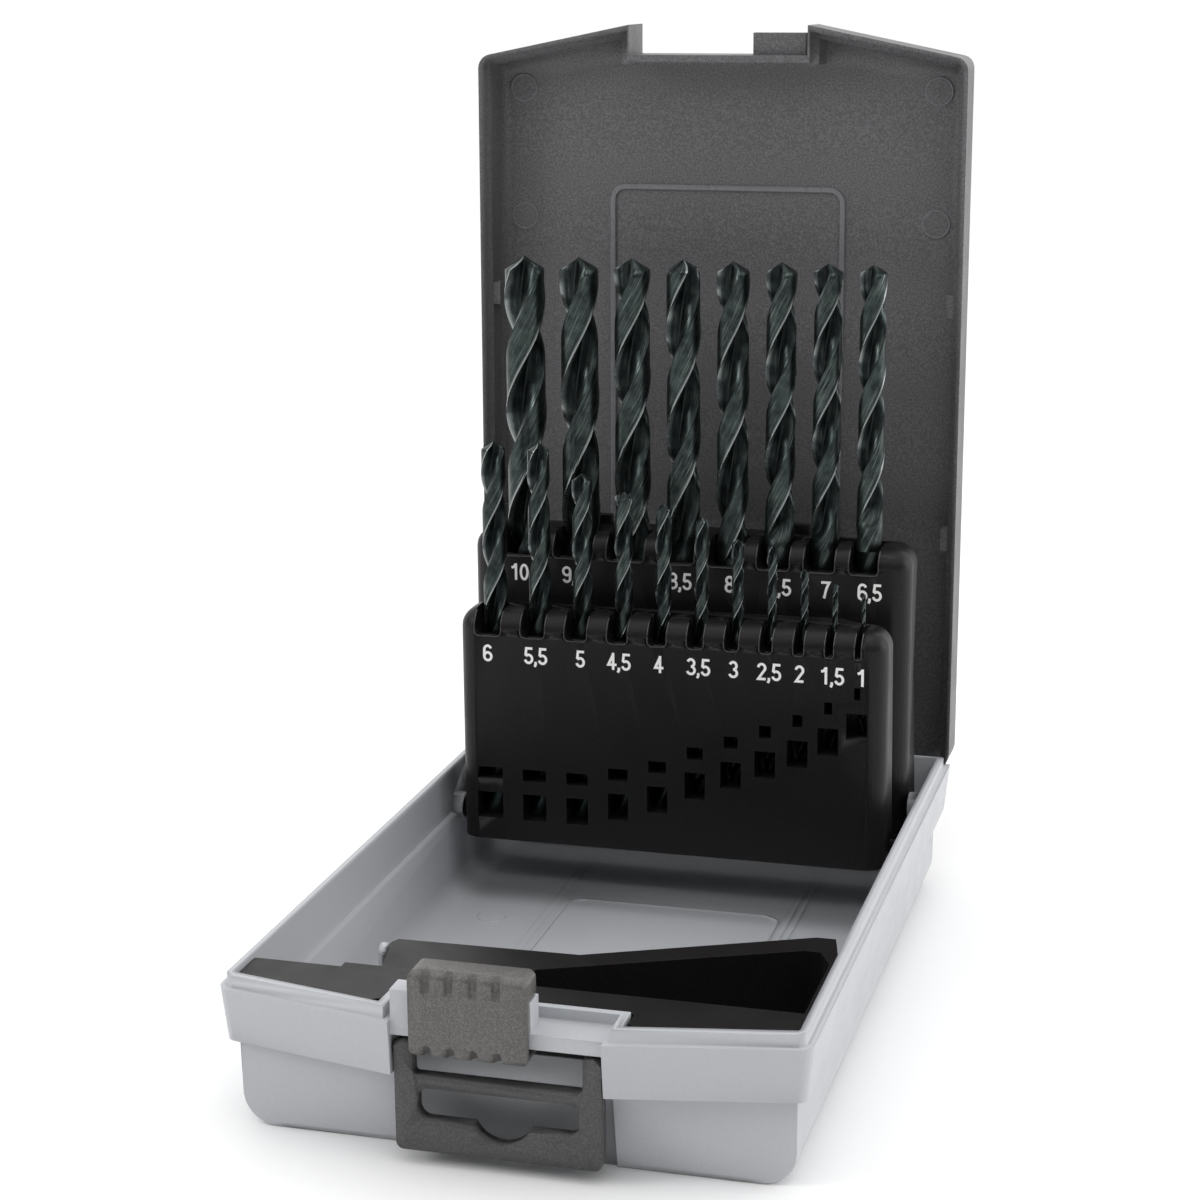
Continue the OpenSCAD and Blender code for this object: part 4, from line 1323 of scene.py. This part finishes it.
@dataclass
class Studio:
    """White sweep, soft light and the camera of the reference picture.

    Attributes:
        camera_mm: the camera's place.
        azimuth_deg: how far it stands to the right of the front.
        elevation_deg: how far it looks down.
        roll_deg: how far it is turned about its own axis.
        lens_mm: its focal length.
        sensor_mm: width of its sensor.
        near: the nearest that it sees, in metres.
        floor_half: half the floor's side, in metres.
        floor_drop: how far the floor lies below the case, in metres.
        floor_colour: the floor's colour.
        floor_rough: the floor's roughness.
        front_light: strength of the tent's light from the front, between its skirt and its ceiling.
        back_light: strength of its light from behind, and of its skirt.
        top_light: strength of its ceiling.
        lamps: the lamps.
    """

    camera_mm: tuple[float, float, float] = (147.93, -544.75, 238.03)
    azimuth_deg: float = 15.711
    elevation_deg: float = 14.466
    roll_deg: float = -0.484
    lens_mm: float = 79.03
    sensor_mm: float = 36.0
    near: float = 0.01
    floor_half: float = 14.0
    floor_drop: float = 0.0002
    floor_colour: str = "#f6f6f6"
    floor_rough: float = 0.9
    front_light: float = 0.02
    back_light: float = 1.14
    top_light: float = 1.26
    lamps: tuple[SoftLamp, ...] = (
        SoftLamp("right_window", (1.0, 0.3, 0.35), (0, 0, 0.05), 0.7, 3.4),
        SoftLamp("left_strip", (-0.9, -0.6, 0.6), (0, 0, 0.1), 0.35, 3.0),
        SoftLamp("over_softbox", (0.1, -0.2, 1.2), (0, -0.05, 0.05), 0.5, 1.5))

    def camera(self) -> None:
        """Sets up the camera at the reference picture's viewing angle."""
        az, el, roll = (math.radians(a) for a in (self.azimuth_deg, self.elevation_deg, self.roll_deg))
        forward = Vector((-math.sin(az) * math.cos(el), math.cos(az) * math.cos(el), -math.sin(el)))
        level = Vector((math.cos(az), math.sin(az), 0))
        upright = level.cross(forward)
        right = math.cos(roll) * level + math.sin(roll) * upright
        up = -math.sin(roll) * level + math.cos(roll) * upright
        lens = bpy.data.cameras.new("camera")
        lens.lens = self.lens_mm
        lens.sensor_width = self.sensor_mm
        lens.clip_start = self.near
        holder = bpy.data.objects.new("camera", lens)
        turn = Matrix((right, up, -forward)).transposed().to_4x4()
        holder.matrix_world = Matrix.Translation(Vector(self.camera_mm) * MM) @ turn
        bpy.context.scene.collection.objects.link(holder)
        bpy.context.scene.camera = holder

    def floor(self) -> None:
        """Lays the pale floor under the case."""
        mesh = bpy.data.meshes.new("floor")
        work = bmesh.new()
        bmesh.ops.create_grid(work, x_segments=1, y_segments=1, size=self.floor_half)
        work.to_mesh(mesh)
        work.free()
        mesh.transform(Matrix.Translation((0, 0, -self.floor_drop)))
        material = bpy.data.materials.new("white_sweep")
        material.use_nodes = True
        shader = material.node_tree.nodes["Principled BSDF"]
        shader.inputs["Base Color"].default_value = linear(self.floor_colour)
        shader.inputs["Roughness"].default_value = self.floor_rough
        mesh.materials.append(material)
        new_object("floor", mesh)

    def world(self) -> None:
        """Surrounds the case with a white tent: bright above, behind and at the skirt, dim in front."""
        world = bpy.data.worlds.new("white_tent")
        world.use_nodes = True
        tree = world.node_tree
        way = add_node(tree, "ShaderNodeTexCoord").outputs["Generated"]
        axes = add_node(tree, "ShaderNodeSeparateXYZ", {"Vector": way}).outputs
        around = add_node(tree, "ShaderNodeMapRange", {"Value": axes["Y"], "From Min": -0.2, "From Max": 0.2,
                                                       "To Min": self.front_light, "To Max": self.back_light})
        # The skirt is white, from just above the horizon down, so that low views have no dark edge.
        skirt = add_node(tree, "ShaderNodeMapRange", {"Value": axes["Z"], "From Min": 0.025,
                                                      "From Max": 0.045, "To Min": self.back_light,
                                                      "To Max": around.outputs["Result"]})
        above = add_node(tree, "ShaderNodeMapRange", {"Value": axes["Z"], "From Min": 0.35, "From Max": 0.65})
        light = add_node(tree, "ShaderNodeMix", {"Factor": above.outputs["Result"],
                                                 2: skirt.outputs["Result"], 3: self.top_light})
        back = tree.nodes["Background"]
        tree.links.new(light.outputs[0], back.inputs["Strength"])
        back.inputs["Color"].default_value = linear("#ffffff")
        bpy.context.scene.world = world

    def build(self) -> None:
        """Builds the whole studio."""
        self.camera()
        self.floor()
        self.world()
        bpy.context.scene.view_settings.view_transform = "Standard"
        for lamp in self.lamps:
            lamp.hang()


# ---------------------------------------------------------------- main


def main() -> None:
    """Builds the studio and every piece in order."""
    logging.basicConfig(level=logging.INFO, format="%(message)s")
    Studio().build()
    mouldings = (
        Moulding("base_tray", "base", Finish.LIGHT_GREY),
        Moulding("lid", "lid", Finish.ANTHRACITE, 0.35),
        Moulding("tip_tray", "base", Finish.BLACK),
        Holder(FRONT.node, FRONT.node, Finish.BLACK, 0.25, sizes=FRONT),
        Holder(REAR.node, REAR.node, Finish.BLACK, 0.25, sizes=REAR),
        Moulding("latch_slider", "latch_slider", Finish.WARM_GREY, 0.3),
        Moulding("hanger_tab", "hanger_tab", Finish.DARK_GREY, 0.35),
    )
    for moulding in mouldings:
        moulding.dress()
    DrillSet().dress()
    bead_tree = BeadTree().build()
    LidRelief().dress(bead_tree)
    for holder in (FRONT, REAR):
        SlotRims(holder).dress(bead_tree)
    bpy.data.node_groups.remove(bead_tree)
    for holder in (FRONT, REAR):
        Numerals(holder).dress()


if __name__ == "__main__":
    main()
